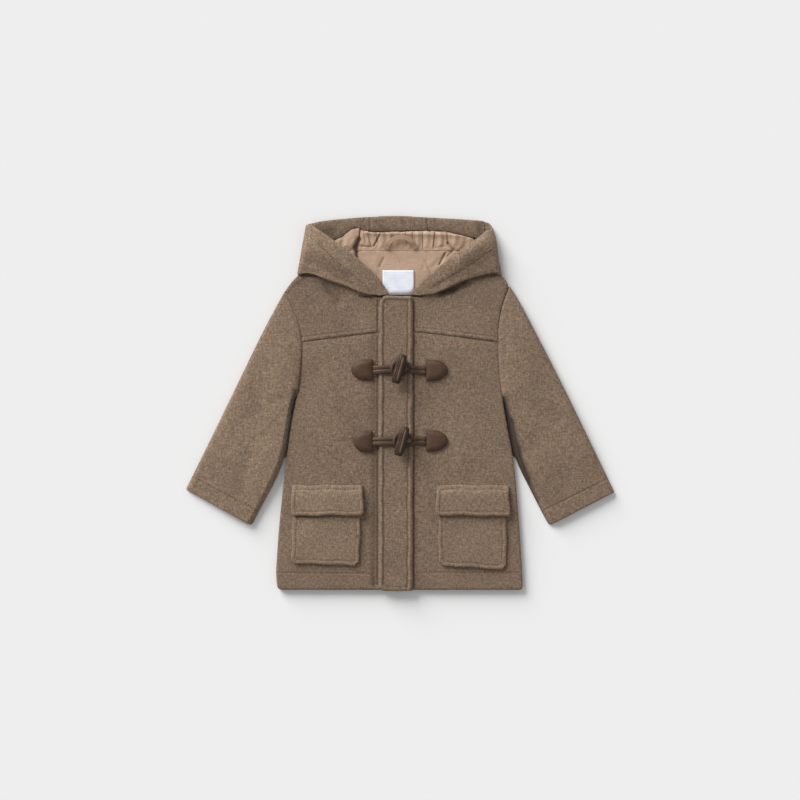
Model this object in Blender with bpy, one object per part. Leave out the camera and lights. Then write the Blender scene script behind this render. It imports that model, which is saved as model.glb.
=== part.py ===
"""A small child's hooded duffle coat in wool, laid on its back.

The coat lies face up. +Y runs from the hem to the hood, +X is the wearer's left,
and the floor is z = 0. Lengths below are in millimetres, and the function that
places a point turns them into metres. Side tables give distances from the middle
line, and the wearer's right is at -X.
"""
import math

import bmesh
import bpy

COAT = "duffle_coat"
MM = 0.001
RIGHT = -1
LEFT = 1

# Walls and gaps
BODY_WALL = 4.5        # wool, wadding and lining together
HOOD_WALL = 3.2        # wool of the hood
FACING_WALL = 3.0
LINING_WALL = 1.5
LABEL_WALL = 0.7
PATCH_POCKET_WALL = 3.0
FLAP_WALL = 3.2
PLACKET_WALL = 3.2
SLEEVE_WALL = 4.2
SEAM = 0.3             # gap between sewn pieces
LIFT = 0.5             # gap under a piece that lies on a panel

# Edges
ROUND_WIDTH = 3.6      # how far in from an edge the cloth begins to round off
ROUND_DROP = 2.3       # how much lower the edge is than the panel
DIP_WIDTH = 4.0        # the same for a sewn seam, where two panels dip together
DIP_DROP = 0.9
RIDGE_WIDTH = 5.2      # turned edge between the rim and its row of stitches
RIDGE_RISE = 0.7
BACK_EDGE_DROP = 1.6   # how far the back's underside rises at its edge

# Distances from an edge where a grid gets extra lines
EDGE = (1.0, ROUND_WIDTH)
STITCHED_EDGE = (1.0, RIDGE_WIDTH - 1.2, RIDGE_WIDTH + 0.4)

# Body
HEM_Y = -243.5
SEAM_X = -5.0          # where the two fronts meet under the fly strip
PUFF = 1.8             # how far the padded fronts stand off the back
PUFF_REACH = 60.0
PUFF_END_Y = 125.0     # above this height the fronts lie close again
UNDERARM_Y = 12.0      # open side edge below it, armhole seam above it
ARMHOLE_TOP_Y = 140.0  # armhole seam below it, shoulder edge above it
BODY_HALF_WIDTH = 155.0
BACK_TOP = BODY_WALL
FRONT_LOW = BACK_TOP + SEAM

# Half width of the body at each height: side seam, armhole, shoulder end
BODY_EDGE = {
    RIGHT: (  # y, half width
        (HEM_Y, 161.2), (-222.0, 160.4), (-156.7, 155.9), (-72.8, 146.8), (-39.4, 142.3),
        (-10.1, 137.6), (2.9, 134.5), (12.6, 132.1), (36.7, 128.4), (65.9, 126.6),
        (91.4, 127.8), (118.8, 137.2), (142.5, 147.4), (147.0, 147.4), (154.0, 142.0),
        (163.0, 133.0)),
    LEFT: (
        (HEM_Y, 160.4), (-167.6, 156.0), (-80.1, 148.7), (-58.9, 145.4), (-42.6, 142.2),
        (-26.4, 139.1), (-10.1, 136.2), (6.1, 133.9), (29.4, 130.5), (65.9, 127.7),
        (102.3, 128.7), (131.6, 134.2), (151.6, 142.2), (158.0, 139.0), (163.0, 133.5)),
}
HEM_CORNER = {RIGHT: 9.0, LEFT: 4.0}

# Upper edge of the back and the shoulders, by distance from the middle line
SHOULDER = (  # distance, y
    (0.0, 158.0), (45.0, 160.0), (70.0, 165.0), (100.0, 168.5), (120.0, 168.2),
    (128.0, 166.4), (133.5, 163.0))

# Neck edge of the fronts
NECK = ((0.0, 137.5), (36.0, 137.5), (50.0, 147.0), (62.0, 157.0), (74.0, 165.8))

# Yoke seam: highest beside the fly strip, lower at the armhole
YOKE_SEAM_Y = 91.6
YOKE_SEAM_FALL = 0.127
YOKE_SEAM_START = 26.0

# Sleeves: the outer and the inner edge, by share of the way to the cuff
SLEEVE_OUTER = {  # share, x, y
    RIGHT: ((0.0, 148.2, 146.0), (0.22, 173.9, 98.8), (0.42, 202.2, 41.8),
            (0.70, 239.4, -35.0), (1.0, 278.1, -112.8)),
    LEFT: ((0.0, 142.9, 151.2), (0.05, 150.2, 141.6), (0.22, 173.8, 97.2),
           (0.42, 205.4, 36.0), (0.70, 242.6, -40.0), (1.0, 279.6, -116.5)),
}
SLEEVE_INNER = {
    RIGHT: ((0.0, 132.9, 12.0), (0.22, 135.4, 4.0), (0.42, 138.6, -8.0),
            (0.53, 143.4, -38.0), (0.64, 148.0, -69.0), (0.72, 154.4, -89.0),
            (0.80, 164.4, -109.8), (0.90, 177.4, -133.4), (1.0, 191.2, -161.1)),
    LEFT: ((0.0, 134.8, 4.0), (0.22, 137.4, -8.0), (0.42, 140.2, -24.0),
           (0.53, 145.6, -50.0), (0.615, 149.2, -72.4), (0.70, 158.4, -92.0),
           (0.80, 170.4, -115.5), (0.90, 181.6, -137.8), (1.0, 193.6, -160.9)),
}
SLEEVE_LIP = {RIGHT: (2.0, 3.0, 0.62), LEFT: (4.5, 4.0, 0.36)}  # low width, rise width, height share
SLEEVE_LENGTH = 230.0
SLEEVE_HALF_HEIGHT = 6.0
SLEEVE_CLEARANCE = 1.0
CUFF_CORNER = 4.0

# Hood: outline where the cloth folds over, by share of the way up to the crown
HOOD_FOLD = {
    RIGHT: ((0.0, 133.2), (0.27, 129.8), (0.72, 124.8), (1.0, 121.6)),
    LEFT: ((0.0, 133.4), (0.27, 129.4), (0.75, 125.6), (0.88, 124.4), (1.0, 121.0)),
}
CROWN = {  # distance from the middle line, y of the crown's rim
    RIGHT: ((0.0, 242.6), (45.9, 240.8), (65.8, 239.4), (100.0, 235.8), (122.5, 230.6)),
    LEFT: ((0.0, 242.6), (35.6, 240.6), (104.0, 236.4), (115.0, 233.8), (121.5, 229.4)),
}
CORNER_FALL = {RIGHT: 2.5, LEFT: 11.0}  # how far below the crown the rim folds over
HOOD_RIM = {  # share, distance from the middle line, y of the rim of the opening
    RIGHT: ((0.0, 12.1, 139.0), (0.19, 26.0, 161.0), (0.36, 43.9, 177.3),
            (0.53, 61.9, 193.0), (0.75, 86.7, 210.7), (1.0, 113.2, 229.4)),
    LEFT: ((0.0, 11.8, 139.0), (0.21, 31.7, 159.4), (0.43, 55.6, 179.3),
           (0.65, 79.4, 197.6), (0.85, 100.0, 212.0), (1.0, 112.0, 222.2)),
}
WING_EDGE = {  # share of the way from the fold to the tip, distance, y
    RIGHT: ((0.0, 127.8, 166.9), (0.17, 107.6, 164.4), (0.26, 97.6, 158.0),
            (0.49, 69.8, 149.8), (0.62, 55.7, 142.8), (0.70, 47.8, 140.0),
            (0.78, 38.0, 138.3), (0.89, 26.0, 138.3), (1.0, 12.1, 139.0)),
    LEFT: ((0.0, 127.8, 166.9), (0.15, 109.3, 163.6), (0.38, 81.4, 155.6),
           (0.62, 55.6, 143.6), (0.76, 39.7, 138.5), (0.90, 24.0, 138.3),
           (1.0, 11.8, 139.0)),
}
WING_HEIGHT = (  # share up to the crown, height of the fold, height of the rim
    (0.0, 12.3, 9.7), (0.15, 14.5, 12.6), (0.35, 18.0, 16.4), (0.55, 19.0, 18.4),
    (0.80, 17.0, 17.0), (1.0, 12.0, 11.6))
WING_EDGE_HEIGHT = ((0.0, 12.3), (0.15, 12.6), (0.70, 12.4), (0.80, 11.9), (0.9, 10.4), (1.0, 9.7))
WING_BULGE = 2.6
HOOD_SEAM = {RIGHT: -43.5, LEFT: 35.0}

# Linings inside the hood
LINING_HALF_WIDTH = 98.0
LINING_SEAM_Y = 196.6
LINING_TOP = (  # x, y where the gathered lining meets the wool facing
    (-98.0, 204.0), (-76.0, 212.4), (-56.0, 225.4), (-44.0, 221.4), (-28.0, 220.0),
    (0.0, 220.7), (49.7, 221.0), (69.6, 218.0), (98.0, 211.0))
FACING_HALF_WIDTH = 110.0
GATHERS = 18
GATHER_RISE = 1.7
LABEL = {"left": -22.0, "right": 18.7, "bottom": 139.0, "top": 171.0}
HANG_LOOP = (  # share, x, y, lift
    (0.0, -17.6, 198.6, 0.0), (0.2, -13.6, 207.0, 1.6), (0.4, -5.0, 212.6, 2.4),
    (0.6, 6.0, 213.6, 2.4), (0.8, 16.0, 208.4, 1.6), (1.0, 21.0, 198.6, 0.0))
HANG_LOOP_WIDTH = 6.0
HANG_LOOP_WALL = 1.4

# Fly strip
PLACKET = {"left": -26.4, "right": 17.4, "bottom": -244.8, "top": 137.7}
PLACKET_CORNER = 6.0

# Patch pockets and flaps, as distances from the middle line: inner side, outer side
POCKET_TOP_Y = -119.5
POCKET = {  # inner x top, outer x top, inner x bottom, outer x bottom, inner y, outer y
    RIGHT: (49.4, 137.6, 52.4, 140.8, -211.8, -208.6),
    LEFT: (49.7, 138.6, 50.6, 138.8, -212.2, -216.4),
}
POCKET_CORNER = 9.0
FLAP = {
    RIGHT: (47.4, 139.8, 46.0, 139.8, -146.2, -146.8),
    LEFT: (47.7, 141.4, 47.4, 143.8, -146.2, -147.6),
}
FLAP_TOP_Y = -107.3
FLAP_CORNER = 3.5
FLAP_STEP_START = 3.0  # how far below its top edge the flap climbs onto the pocket
FLAP_STEP_END = 11.0

# Toggles and their leather
TOGGLES = {  # centre x, centre y, patch centre y on the wearer's right and left
    "upper": (-0.3, 43.0, 42.0, 41.4),
    "lower": (3.0, -50.2, -50.8, -49.8),
}
PATCH_INNER = {"upper": {RIGHT: 34.2, LEFT: 34.2}, "lower": {RIGHT: 34.6, LEFT: 34.2}}
PATCH_OUTER = {"upper": {RIGHT: 62.7, LEFT: 62.8}, "lower": {RIGHT: 60.0, LEFT: 62.8}}
PATCH_HALF_HEIGHT = 13.9
PATCH_STRAIGHT = 8.0
PATCH_RIM = 1.4
PATCH_DOME = 1.9
PATCH_ARC = math.radians(58.0)
CORD_HALF_WIDTH = 2.5  # flat cords, each of two strands side by side
CORD_HALF_HEIGHT = 1.6
CORD_SPREAD = 2.7
LOOP_SHARE = 0.7       # how much narrower the loop round the toggle is
TURN_SHARE = 0.5       # how much narrower the other cord is where it turns back
CORD_LOOP = (  # past the toggle's middle, across above, across below, lift over the other cord
    (15.0, 3.0, 3.0, 0.0), (10.0, 6.6, 4.8, 0.0), (4.5, 10.2, 6.8, 0.0), (-1.0, 10.8, 7.6, 0.4),
    (-5.5, 7.8, 7.4, 1.6), (-8.6, 4.4, 4.4, 3.5), (-9.8, 1.6, 1.6, 4.2))
TOGGLE_HALF_LENGTH = 18.0
TOGGLE_RADIUS = 5.6
TOGGLE_LEAN = math.radians(15.0)
TOGGLE_PROFILE = (  # share of the half length, share of the radius
    (0.0, 0.90), (0.3, 1.0), (0.6, 0.97), (0.85, 0.82), (1.0, 0.62))

# Colours, as linear red, green and blue, with their roughness
WOOL = ((0.205, 0.148, 0.107), 0.95)
SATIN_LINING = ((0.55, 0.38, 0.24), 0.6)
LEATHER = ((0.095, 0.052, 0.034), 0.4)
HORN = ((0.075, 0.045, 0.026), 0.35)
RIBBON = ((0.82, 0.84, 0.88), 0.7)


def mix(low, high, share):
    return low + (high - low) * share


def ease(share):
    share = min(1.0, max(0.0, share))
    return share * share * (3.0 - 2.0 * share)


def read(rows, place, column=1):
    """Value of a column at a place, on a smooth curve through the table's rows."""
    if place <= rows[0][0]:
        return rows[0][column]
    if place >= rows[-1][0]:
        return rows[-1][column]
    after = next(k for k in range(1, len(rows)) if place <= rows[k][0])
    low, high = rows[after - 1], rows[after]
    before_low = rows[max(after - 2, 0)]
    after_high = rows[min(after + 1, len(rows) - 1)]
    span = high[0] - low[0]
    slope_low = (high[column] - before_low[column]) / (high[0] - before_low[0])
    slope_high = (after_high[column] - low[column]) / (after_high[0] - low[0])
    s = (place - low[0]) / span
    return ((2 * s**3 - 3 * s**2 + 1) * low[column]
            + (s**3 - 2 * s**2 + s) * span * slope_low
            + (3 * s**2 - 2 * s**3) * high[column]
            + (s**3 - s**2) * span * slope_high)


def corner_inset(distance, radius):
    """How far a rounded corner pulls the side in, at a distance from the end."""
    short = min(radius, max(0.0, radius - distance))
    return radius - math.sqrt(radius**2 - short**2)


def round_off(distance, width=ROUND_WIDTH, drop=ROUND_DROP):
    """How much lower the cloth is near its edge."""
    inward = min(1.0, max(0.0, distance / width))
    return drop * (1.0 - math.sqrt(1.0 - (1.0 - inward)**2))


def dip(distance):
    """How much the cloth dips towards a sewn seam."""
    return DIP_DROP * (1.0 - ease(distance / DIP_WIDTH))


def ridge(distance):
    """A turned edge, raised between its rim and its stitches."""
    return RIDGE_RISE * (1.0 - ease((distance - RIDGE_WIDTH + 1.2) / 1.6))


def lines(length, count, start=(), end=()):
    """Shares of a length for a grid's lines, with extra ones at given distances from its ends."""
    first = start[-1] if start else 0.0
    last = length - (end[-1] if end else 0.0)
    middle = [mix(first, last, k / count) for k in range(count + 1)]
    places = [0.0] * bool(start) + list(start[:-1]) + middle
    places += [length - d for d in reversed(end[:-1])] + [length] * bool(end)
    return [place / length for place in places]


def body_edge(side, y):
    inset = corner_inset(y - HEM_Y, HEM_CORNER[side])
    return read(BODY_EDGE[side], y) - inset


def yoke_seam(x):
    return YOKE_SEAM_Y - YOKE_SEAM_FALL * max(abs(x) - YOKE_SEAM_START, 0.0)


def shoulder(x):
    return read(SHOULDER, abs(x))


def neck(x):
    if abs(x) < NECK[-1][0]:
        return read(NECK, abs(x))
    return shoulder(x)


def front_low(x, y):
    """Underside of the fronts and yokes: the padding holds them off the back."""
    side = LEFT if x > 0 else RIGHT
    inside = (ease((body_edge(side, y) - abs(x)) / PUFF_REACH)
              * ease((y - HEM_Y) / PUFF_REACH) * ease((PUFF_END_Y - y) / PUFF_REACH))
    waves = 0.3 * math.sin(x / 31.0 + y / 44.0) + 0.25 * math.sin(y / 27.0 - x / 52.0)
    return FRONT_LOW + inside * (PUFF + waves)


def front_top(x, y):
    return front_low(x, y) + BODY_WALL


def placket_top(x, y):
    """Top of the fly strip, with its turned and stitched edges."""
    to_side = min(x - PLACKET["left"], PLACKET["right"] - x)
    to_end = min(y - PLACKET["bottom"], PLACKET["top"] - y)
    edge = min(to_side, to_end)
    top = front_top(x, y) + LIFT + PLACKET_WALL + ridge(edge)
    return top - round_off(edge)


def finish(name, colour):
    """A plain finish for one sub-part, in its own colour."""
    (red, green, blue), roughness = colour
    material = bpy.data.materials.new(name + "_finish")
    material.use_nodes = True
    shader = material.node_tree.nodes["Principled BSDF"]
    shader.inputs["Base Color"].default_value = (red, green, blue, 1.0)
    shader.inputs["Roughness"].default_value = roughness
    shader.inputs["Metallic"].default_value = 0.0
    return material


def new_object(name, mesh, colour):
    piece = bpy.data.objects.new(name, mesh)
    bpy.data.collections[COAT].objects.link(piece)
    mesh.materials.append(finish(name, colour))
    return piece


def smooth(mesh, angle=40.0):
    mesh.shade_smooth()
    mesh.set_sharp_from_angle(angle=math.radians(angle))


def slab(name, columns, rows, place, colour, closed=False):
    """A wall of cloth: a flat grid is pulled up into a slab, then each corner is put in place.

    place(u, v, w) gives a point in millimetres: u and v run along the grid's lines, and w is
    0 on the first face of the wall and 1 on the second. A closed slab is a tube: its first
    and last columns are the same line.
    """
    bm = bmesh.new()
    across, up = len(columns) - 1, len(rows) - 1
    bmesh.ops.create_grid(bm, x_segments=across, y_segments=up, size=0.5)
    pulled = bmesh.ops.extrude_face_region(bm, geom=bm.faces[:])
    for item in pulled["geom"]:
        if isinstance(item, bmesh.types.BMVert):
            item.co.z = 1.0
    if closed:
        ends = [face for face in bm.faces
                if all(vert.co.x < -0.49 for vert in face.verts)
                or all(vert.co.x > 0.49 for vert in face.verts)]
        bmesh.ops.delete(bm, geom=ends, context="FACES")
    for vert in bm.verts:
        u = columns[round((vert.co.x + 0.5) * across)]
        v = rows[round((vert.co.y + 0.5) * up)]
        x, y, z = place(u, v, vert.co.z)
        vert.co = (x * MM, y * MM, z * MM)
    if closed:
        bmesh.ops.remove_doubles(bm, verts=bm.verts[:], dist=0.000001)
    bmesh.ops.recalc_face_normals(bm, faces=bm.faces[:])
    mesh = bpy.data.meshes.new(name)
    bm.to_mesh(mesh)
    bm.free()
    smooth(mesh)
    return new_object(name, mesh, colour)


def build_back():
    """The back: flat on the floor, from the hem to the neck seam and the shoulders."""
    top_y = SHOULDER[-1][1]

    def place(u, v, w):
        side = LEFT if u >= 0.5 else RIGHT
        share = abs(2.0 * u - 1.0)
        row_y = mix(HEM_Y, top_y, v)
        half = body_edge(side, row_y)
        x = side * share * half
        y = mix(HEM_Y, shoulder(x), v)
        edge = min(half - abs(x), y - HEM_Y)
        if w > 0.5:
            return x, y, BACK_TOP - dip(shoulder(x) - y)
        return x, y, round_off(edge, ROUND_WIDTH, BACK_EDGE_DROP)

    half_columns = lines(BODY_HALF_WIDTH, 8, end=EDGE)
    columns = [0.5 - 0.5 * c for c in reversed(half_columns)] + [0.5 + 0.5 * c for c in half_columns[1:]]
    under_arm = -HEM_Y / (top_y - HEM_Y)
    rows = [under_arm * r for r in lines(-HEM_Y, 7, start=EDGE)]
    rows += [mix(under_arm, 1.0, r) for r in lines(top_y, 12, end=(DIP_WIDTH,))[1:]]
    slab("back", columns, rows, place, WOOL)


def build_front(side, name):
    """A front below the yoke seam."""
    start = SEAM_X + side * SEAM / 2.0
    armhole_seam_y = yoke_seam(body_edge(side, 80.0))

    def place(u, v, w):
        row_y = mix(HEM_Y, armhole_seam_y, v)
        half = body_edge(side, row_y)
        x = mix(start, side * half, u)
        top_y = yoke_seam(x) - SEAM / 2.0
        y = mix(HEM_Y, top_y, v)
        if w < 0.5:
            return x, y, front_low(x, y)
        to_side = half - abs(x)
        side_drop = mix(round_off(to_side), dip(to_side), ease((y - UNDERARM_Y) / 20.0))
        drop = max(side_drop, round_off(y - HEM_Y), dip(top_y - y))
        return x, y, front_top(x, y) - drop

    columns = lines(BODY_HALF_WIDTH, 8, end=EDGE)
    rows = lines(armhole_seam_y - HEM_Y, 15, start=EDGE, end=(DIP_WIDTH,))
    slab(name, columns, rows, place, WOOL)


def build_yoke(side, name):
    """A front yoke, its lower edge turned and stitched over the front."""
    start = SEAM_X + side * SEAM / 2.0
    low_y = yoke_seam(body_edge(side, 80.0))
    high_y = SHOULDER[-1][1]

    def place(u, v, w):
        row_y = mix(low_y, high_y, v)
        half = body_edge(side, row_y)
        x = mix(start, side * half, u)
        bottom_y = yoke_seam(x) + SEAM / 2.0
        y = mix(bottom_y, neck(x), v)
        if w < 0.5:
            return x, y, front_low(x, y)
        to_side = half - abs(x)
        beside_strip = ease((max(x - PLACKET["right"], PLACKET["left"] - x) - 2.0) / 4.0)
        side_drop = mix(dip(to_side), round_off(to_side), ease((y - ARMHOLE_TOP_Y) / 10.0))
        drop = max(side_drop, round_off(y - bottom_y, 2.0, 1.1) * beside_strip)
        return x, y, front_top(x, y) + ridge(y - bottom_y) * beside_strip - drop

    columns = lines(BODY_HALF_WIDTH, 8, end=EDGE)
    rows = lines(high_y - low_y, 9, start=STITCHED_EDGE)
    slab(name, columns, rows, place, WOOL)


def sleeve_section(flat_lines, arc_lines):
    """Stations round a flattened tube: share across, how far out on the arc, height."""
    stations = [(mix(-1.0, 1.0, k / flat_lines), 0.0, 1.0) for k in range(flat_lines)]
    stations += [(near, 0.0, 1.0) for near in (0.85, 0.93)]
    for k in range(arc_lines):
        angle = math.pi * k / arc_lines
        stations.append((1.0, math.sin(angle), math.cos(angle)))
    stations += [(mix(1.0, -1.0, k / flat_lines), 0.0, -1.0) for k in range(flat_lines)]
    for k in range(arc_lines + 1):
        angle = math.pi * k / arc_lines
        stations.append((-1.0, -math.sin(angle), -math.cos(angle)))
    return stations


def build_sleeve(side, name):
    """A sleeve laid flat: a tube from the armhole seam to the open cuff."""
    section = sleeve_section(8, 4)
    last = len(section) - 1

    def outer(share):
        return read(SLEEVE_OUTER[side], share, 1), read(SLEEVE_OUTER[side], share, 2)

    def inner(share):
        x, y = read(SLEEVE_INNER[side], share, 1), read(SLEEVE_INNER[side], share, 2)
        if share > 0.2:
            x = max(x, body_edge(side, y) + SLEEVE_CLEARANCE)
        out_x, out_y = outer(share)
        back = corner_inset((1.0 - share) * SLEEVE_LENGTH, CUFF_CORNER) / math.hypot(out_x - x, out_y - y)
        return mix(x, out_x, back), mix(y, out_y, back)

    def armhole(across):
        y = mix(outer(0.0)[1], inner(0.0)[1], across)
        return body_edge(side, y) + 2.0 * SEAM, y

    def lip(from_inner, share):
        """How much lower the sleeve lies along its inner edge, beside the body."""
        low_width, rise_width, height = SLEEVE_LIP[side]
        strength = ease((share - 0.05) / 0.15) * (1.0 - 0.6 * ease((share - 0.7) / 0.25))
        return 1.0 - strength * (1.0 - height) * (1.0 - ease((from_inner - low_width) / rise_width))

    def on_plan(across, share):
        straight = [mix(a, b, across) for a, b in zip(outer(share), inner(share))]
        bow = [seam - mix(a, b, across)
               for seam, a, b in zip(armhole(across), armhole(0.0), armhole(1.0))]
        return [point + bend * (1.0 - share)**2 for point, bend in zip(straight, bow)]

    def place(u, v, w):
        (out_x, out_y), (in_x, in_y) = outer(v), inner(v)
        width = math.hypot(out_x - in_x, out_y - in_y)
        half_height = mix(front_top(0.0, 160.0) / 2.0, SLEEVE_HALF_HEIGHT, ease(v / 0.2))
        flat, arc, height = section[round(u * last)]
        wall = SLEEVE_WALL if w > 0.5 else 0.0
        radius = half_height - wall
        offset = flat * (width / 2.0 - half_height) + arc * radius
        x, y = on_plan(0.5 + offset / width, v)
        z = half_height + height * radius
        if height > 0.0:
            puff = math.sin(math.pi * v)**0.5 * math.cos(0.5 * math.pi * flat)
            z += height * puff * (0.5 + 0.35 * math.sin(9.0 * v + 2.0 * flat))
        if w < 0.5:
            from_armhole, from_cuff = v * SLEEVE_LENGTH, (1.0 - v) * SLEEVE_LENGTH
            z -= height * (dip(from_armhole) if height > 0.0 else 0.0)
            z -= height * round_off(from_cuff, 2.5, 1.2)
        return side * x, y, z * lip(width / 2.0 - offset, v)

    columns = [k / last for k in range(last + 1)]
    rows = lines(SLEEVE_LENGTH, 12, start=(DIP_WIDTH,), end=(0.8, 2.5))
    slab(name, columns, rows, place, WOOL, closed=True)


def hood_bottom(x):
    return shoulder(x) + 4.0 * SEAM


def build_hood_side(side, name):
    """A side of the hood: flat on the floor, folded over at the outline and open at the rim."""
    flat_end, fold_end = 0.30, 0.55
    half_wall = HOOD_WALL / 2.0
    seam_x = abs(HOOD_SEAM[side]) + SEAM
    crown = CROWN[side]

    def wing_height(across, share):
        height = mix(read(WING_HEIGHT, share, 1), read(WING_HEIGHT, share, 2), across)
        edge = mix(WING_HEIGHT[0][1], WING_HEIGHT[0][2], across)
        height += (read(WING_EDGE_HEIGHT, across) - edge) * (1.0 - share)**3
        return height + WING_BULGE * math.sin(math.pi * across) * math.sin(math.pi * share)**0.8

    def level_y(x, share, turned=0.0):
        fall = CORNER_FALL[side] * ease(2.0 * share - 1.0) * turned
        return mix(hood_bottom(x), read(crown, x), share) - fall

    def middle(u, v):
        fold_x = read(HOOD_FOLD[side], v)
        radius = (wing_height(0.0, v) - half_wall) / 2.0
        turn_x = fold_x - radius - half_wall
        if u <= flat_end:
            x = mix(seam_x, turn_x, u / flat_end)
            return x, level_y(x, v), half_wall
        if u <= fold_end:
            angle = math.pi * (u - flat_end) / (fold_end - flat_end)
            x = turn_x + radius * math.sin(angle)
            turned = (1.0 - math.cos(angle)) / 2.0
            return x, level_y(x, v, turned), half_wall + 2.0 * radius * turned
        across = (u - fold_end) / (1.0 - fold_end)
        fold = (turn_x, level_y(turn_x, v, 1.0))
        rim = (read(HOOD_RIM[side], v, 1), read(HOOD_RIM[side], v, 2))
        low = (read(WING_EDGE[side], across, 1), read(WING_EDGE[side], across, 2))
        low_ends = (WING_EDGE[side][0][1:], WING_EDGE[side][-1][1:])
        point = [mix(fold[axis], rim[axis], across)
                 + (low[axis] - mix(low_ends[0][axis], low_ends[1][axis], across)) * (1.0 - v)**1.5
                 for axis in (0, 1)]
        return point[0], point[1], wing_height(across, v)

    def place(u, v, w):
        turn = math.pi * min(1.0, max(0.0, (u - flat_end) / (fold_end - flat_end)))
        offset = half_wall if w > 0.5 else -half_wall
        x, y, z = middle(u, v)
        return side * (x - offset * math.sin(turn)), y, z + offset * math.cos(turn)

    columns = [flat_end * k / 3 for k in range(3)]
    columns += [mix(flat_end, fold_end, k / 6) for k in range(6)]
    columns += [mix(fold_end, 1.0, k / 8) for k in range(9)]
    rows = lines(100.0, 9, start=(3.0,), end=(3.0,))
    slab(name, columns, rows, place, WOOL)


def build_hood_centre():
    """The middle strip of the hood, under the linings."""
    left, right = HOOD_SEAM[RIGHT], HOOD_SEAM[LEFT]

    def place(u, v, w):
        x = mix(left, right, u)
        crown = CROWN[LEFT if x > 0 else RIGHT]
        y = mix(hood_bottom(x), read(crown, abs(x)), v)
        return x, y, w * HOOD_WALL

    slab("hood_centre", lines(80.0, 4), lines(80.0, 4), place, WOOL)


def build_hood_facing():
    """Wool facing inside the crown's rim."""
    low = HOOD_WALL + SEAM

    def place(u, v, w):
        x = mix(-FACING_HALF_WIDTH, FACING_HALF_WIDTH, u)
        crown = CROWN[LEFT if x > 0 else RIGHT]
        bottom, top = read(LINING_TOP, x) + 4.0 * SEAM, read(crown, abs(x)) - 0.6
        y = mix(bottom, top, v)
        if w < 0.5:
            return x, y, low
        seams = sum(dip(abs(x - seam_x)) for seam_x in HOOD_SEAM.values())
        return x, y, low + FACING_WALL + 0.6 * math.sin(math.pi * v) - seams - round_off(top - y, 3.0, 1.8)

    columns = lines(2.0 * FACING_HALF_WIDTH, 34)
    slab("hood_facing", columns, lines(24.0, 2, end=(0.8, 3.0)), place, WOOL)


def lining_top(x, y):
    """Top of the gathered lining: uneven gathers that fade towards its lower seam."""
    share = (x + LINING_HALF_WIDTH) / (2.0 * LINING_HALF_WIDTH)
    phase = GATHERS * (share + 0.012 * math.sin(17.0 * share))
    depth = GATHER_RISE * (0.75 + 0.25 * math.sin(5.0 * share * math.pi + 1.0))
    wave = 0.5 + 0.5 * math.cos(2.0 * math.pi * phase)
    return HOOD_WALL + SEAM + LINING_WALL + 0.4 + depth * wave * (0.35 + 0.65 * ease((y - 198.0) / 12.0))


def build_hood_lining():
    """The gathered lining between its seam and the facing."""
    def place(u, v, w):
        x = mix(-LINING_HALF_WIDTH, LINING_HALF_WIDTH, u)
        y = mix(LINING_SEAM_Y + SEAM / 2.0, read(LINING_TOP, x), v)
        return x, y, lining_top(x, y) if w > 0.5 else HOOD_WALL + SEAM

    slab("hood_lining", lines(2.0 * LINING_HALF_WIDTH, 3 * GATHERS), lines(24.0, 3), place, SATIN_LINING)


def neck_lining_low(y):
    return mix(BACK_TOP + SEAM, HOOD_WALL + SEAM, ease((y - 172.0) / 14.0))


def neck_lining_top(x, y):
    ripple = 0.25 * math.sin(x / 9.0) * ease((y - 165.0) / 15.0)
    return neck_lining_low(y) + LINING_WALL + 0.3 + ripple


def build_neck_lining():
    """The smooth lining at the neck, below the gathered one."""
    def place(u, v, w):
        x = mix(-LINING_HALF_WIDTH, LINING_HALF_WIDTH, u)
        bottom = neck(x) + mix(2.0, 8.0, ease((abs(x) - 18.0) / 14.0)) * SEAM
        y = mix(bottom, LINING_SEAM_Y - SEAM / 2.0, v)
        return x, y, neck_lining_top(x, y) if w > 0.5 else neck_lining_low(y)

    slab("neck_lining", lines(2.0 * LINING_HALF_WIDTH, 16), lines(58.0, 6), place, SATIN_LINING)


def build_neck_label():
    """The woven label at the neck, left blank."""
    def place(u, v, w):
        x = mix(LABEL["left"], LABEL["right"], u)
        y = mix(LABEL["bottom"], LABEL["top"], v)
        return x, y, neck_lining_top(x, y) + LIFT + LABEL_WALL * w

    slab("neck_label", lines(40.0, 5), lines(32.0, 5), place, RIBBON)


def build_hang_loop():
    """The hanging loop: its feet are sewn to the gathered lining, and it arches up between them."""
    over_gathers = HOOD_WALL + SEAM + LINING_WALL + GATHER_RISE + 0.9

    def place(u, v, w):
        ahead, behind = min(u + 0.02, 1.0), max(u - 0.02, 0.0)
        dx = read(HANG_LOOP, ahead, 1) - read(HANG_LOOP, behind, 1)
        dy = read(HANG_LOOP, ahead, 2) - read(HANG_LOOP, behind, 2)
        length = math.hypot(dx, dy)
        across = (v - 0.5) * HANG_LOOP_WIDTH
        x = read(HANG_LOOP, u, 1) - dy / length * across
        y = read(HANG_LOOP, u, 2) + dx / length * across
        foot = lining_top(x, y) + SEAM + 0.1
        arch = over_gathers + read(HANG_LOOP, u, 3)
        return x, y, mix(foot, arch, ease(min(u, 1.0 - u) / 0.18)) + HANG_LOOP_WALL * w

    slab("hang_loop", lines(60.0, 14), lines(6.0, 2), place, SATIN_LINING)


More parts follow.
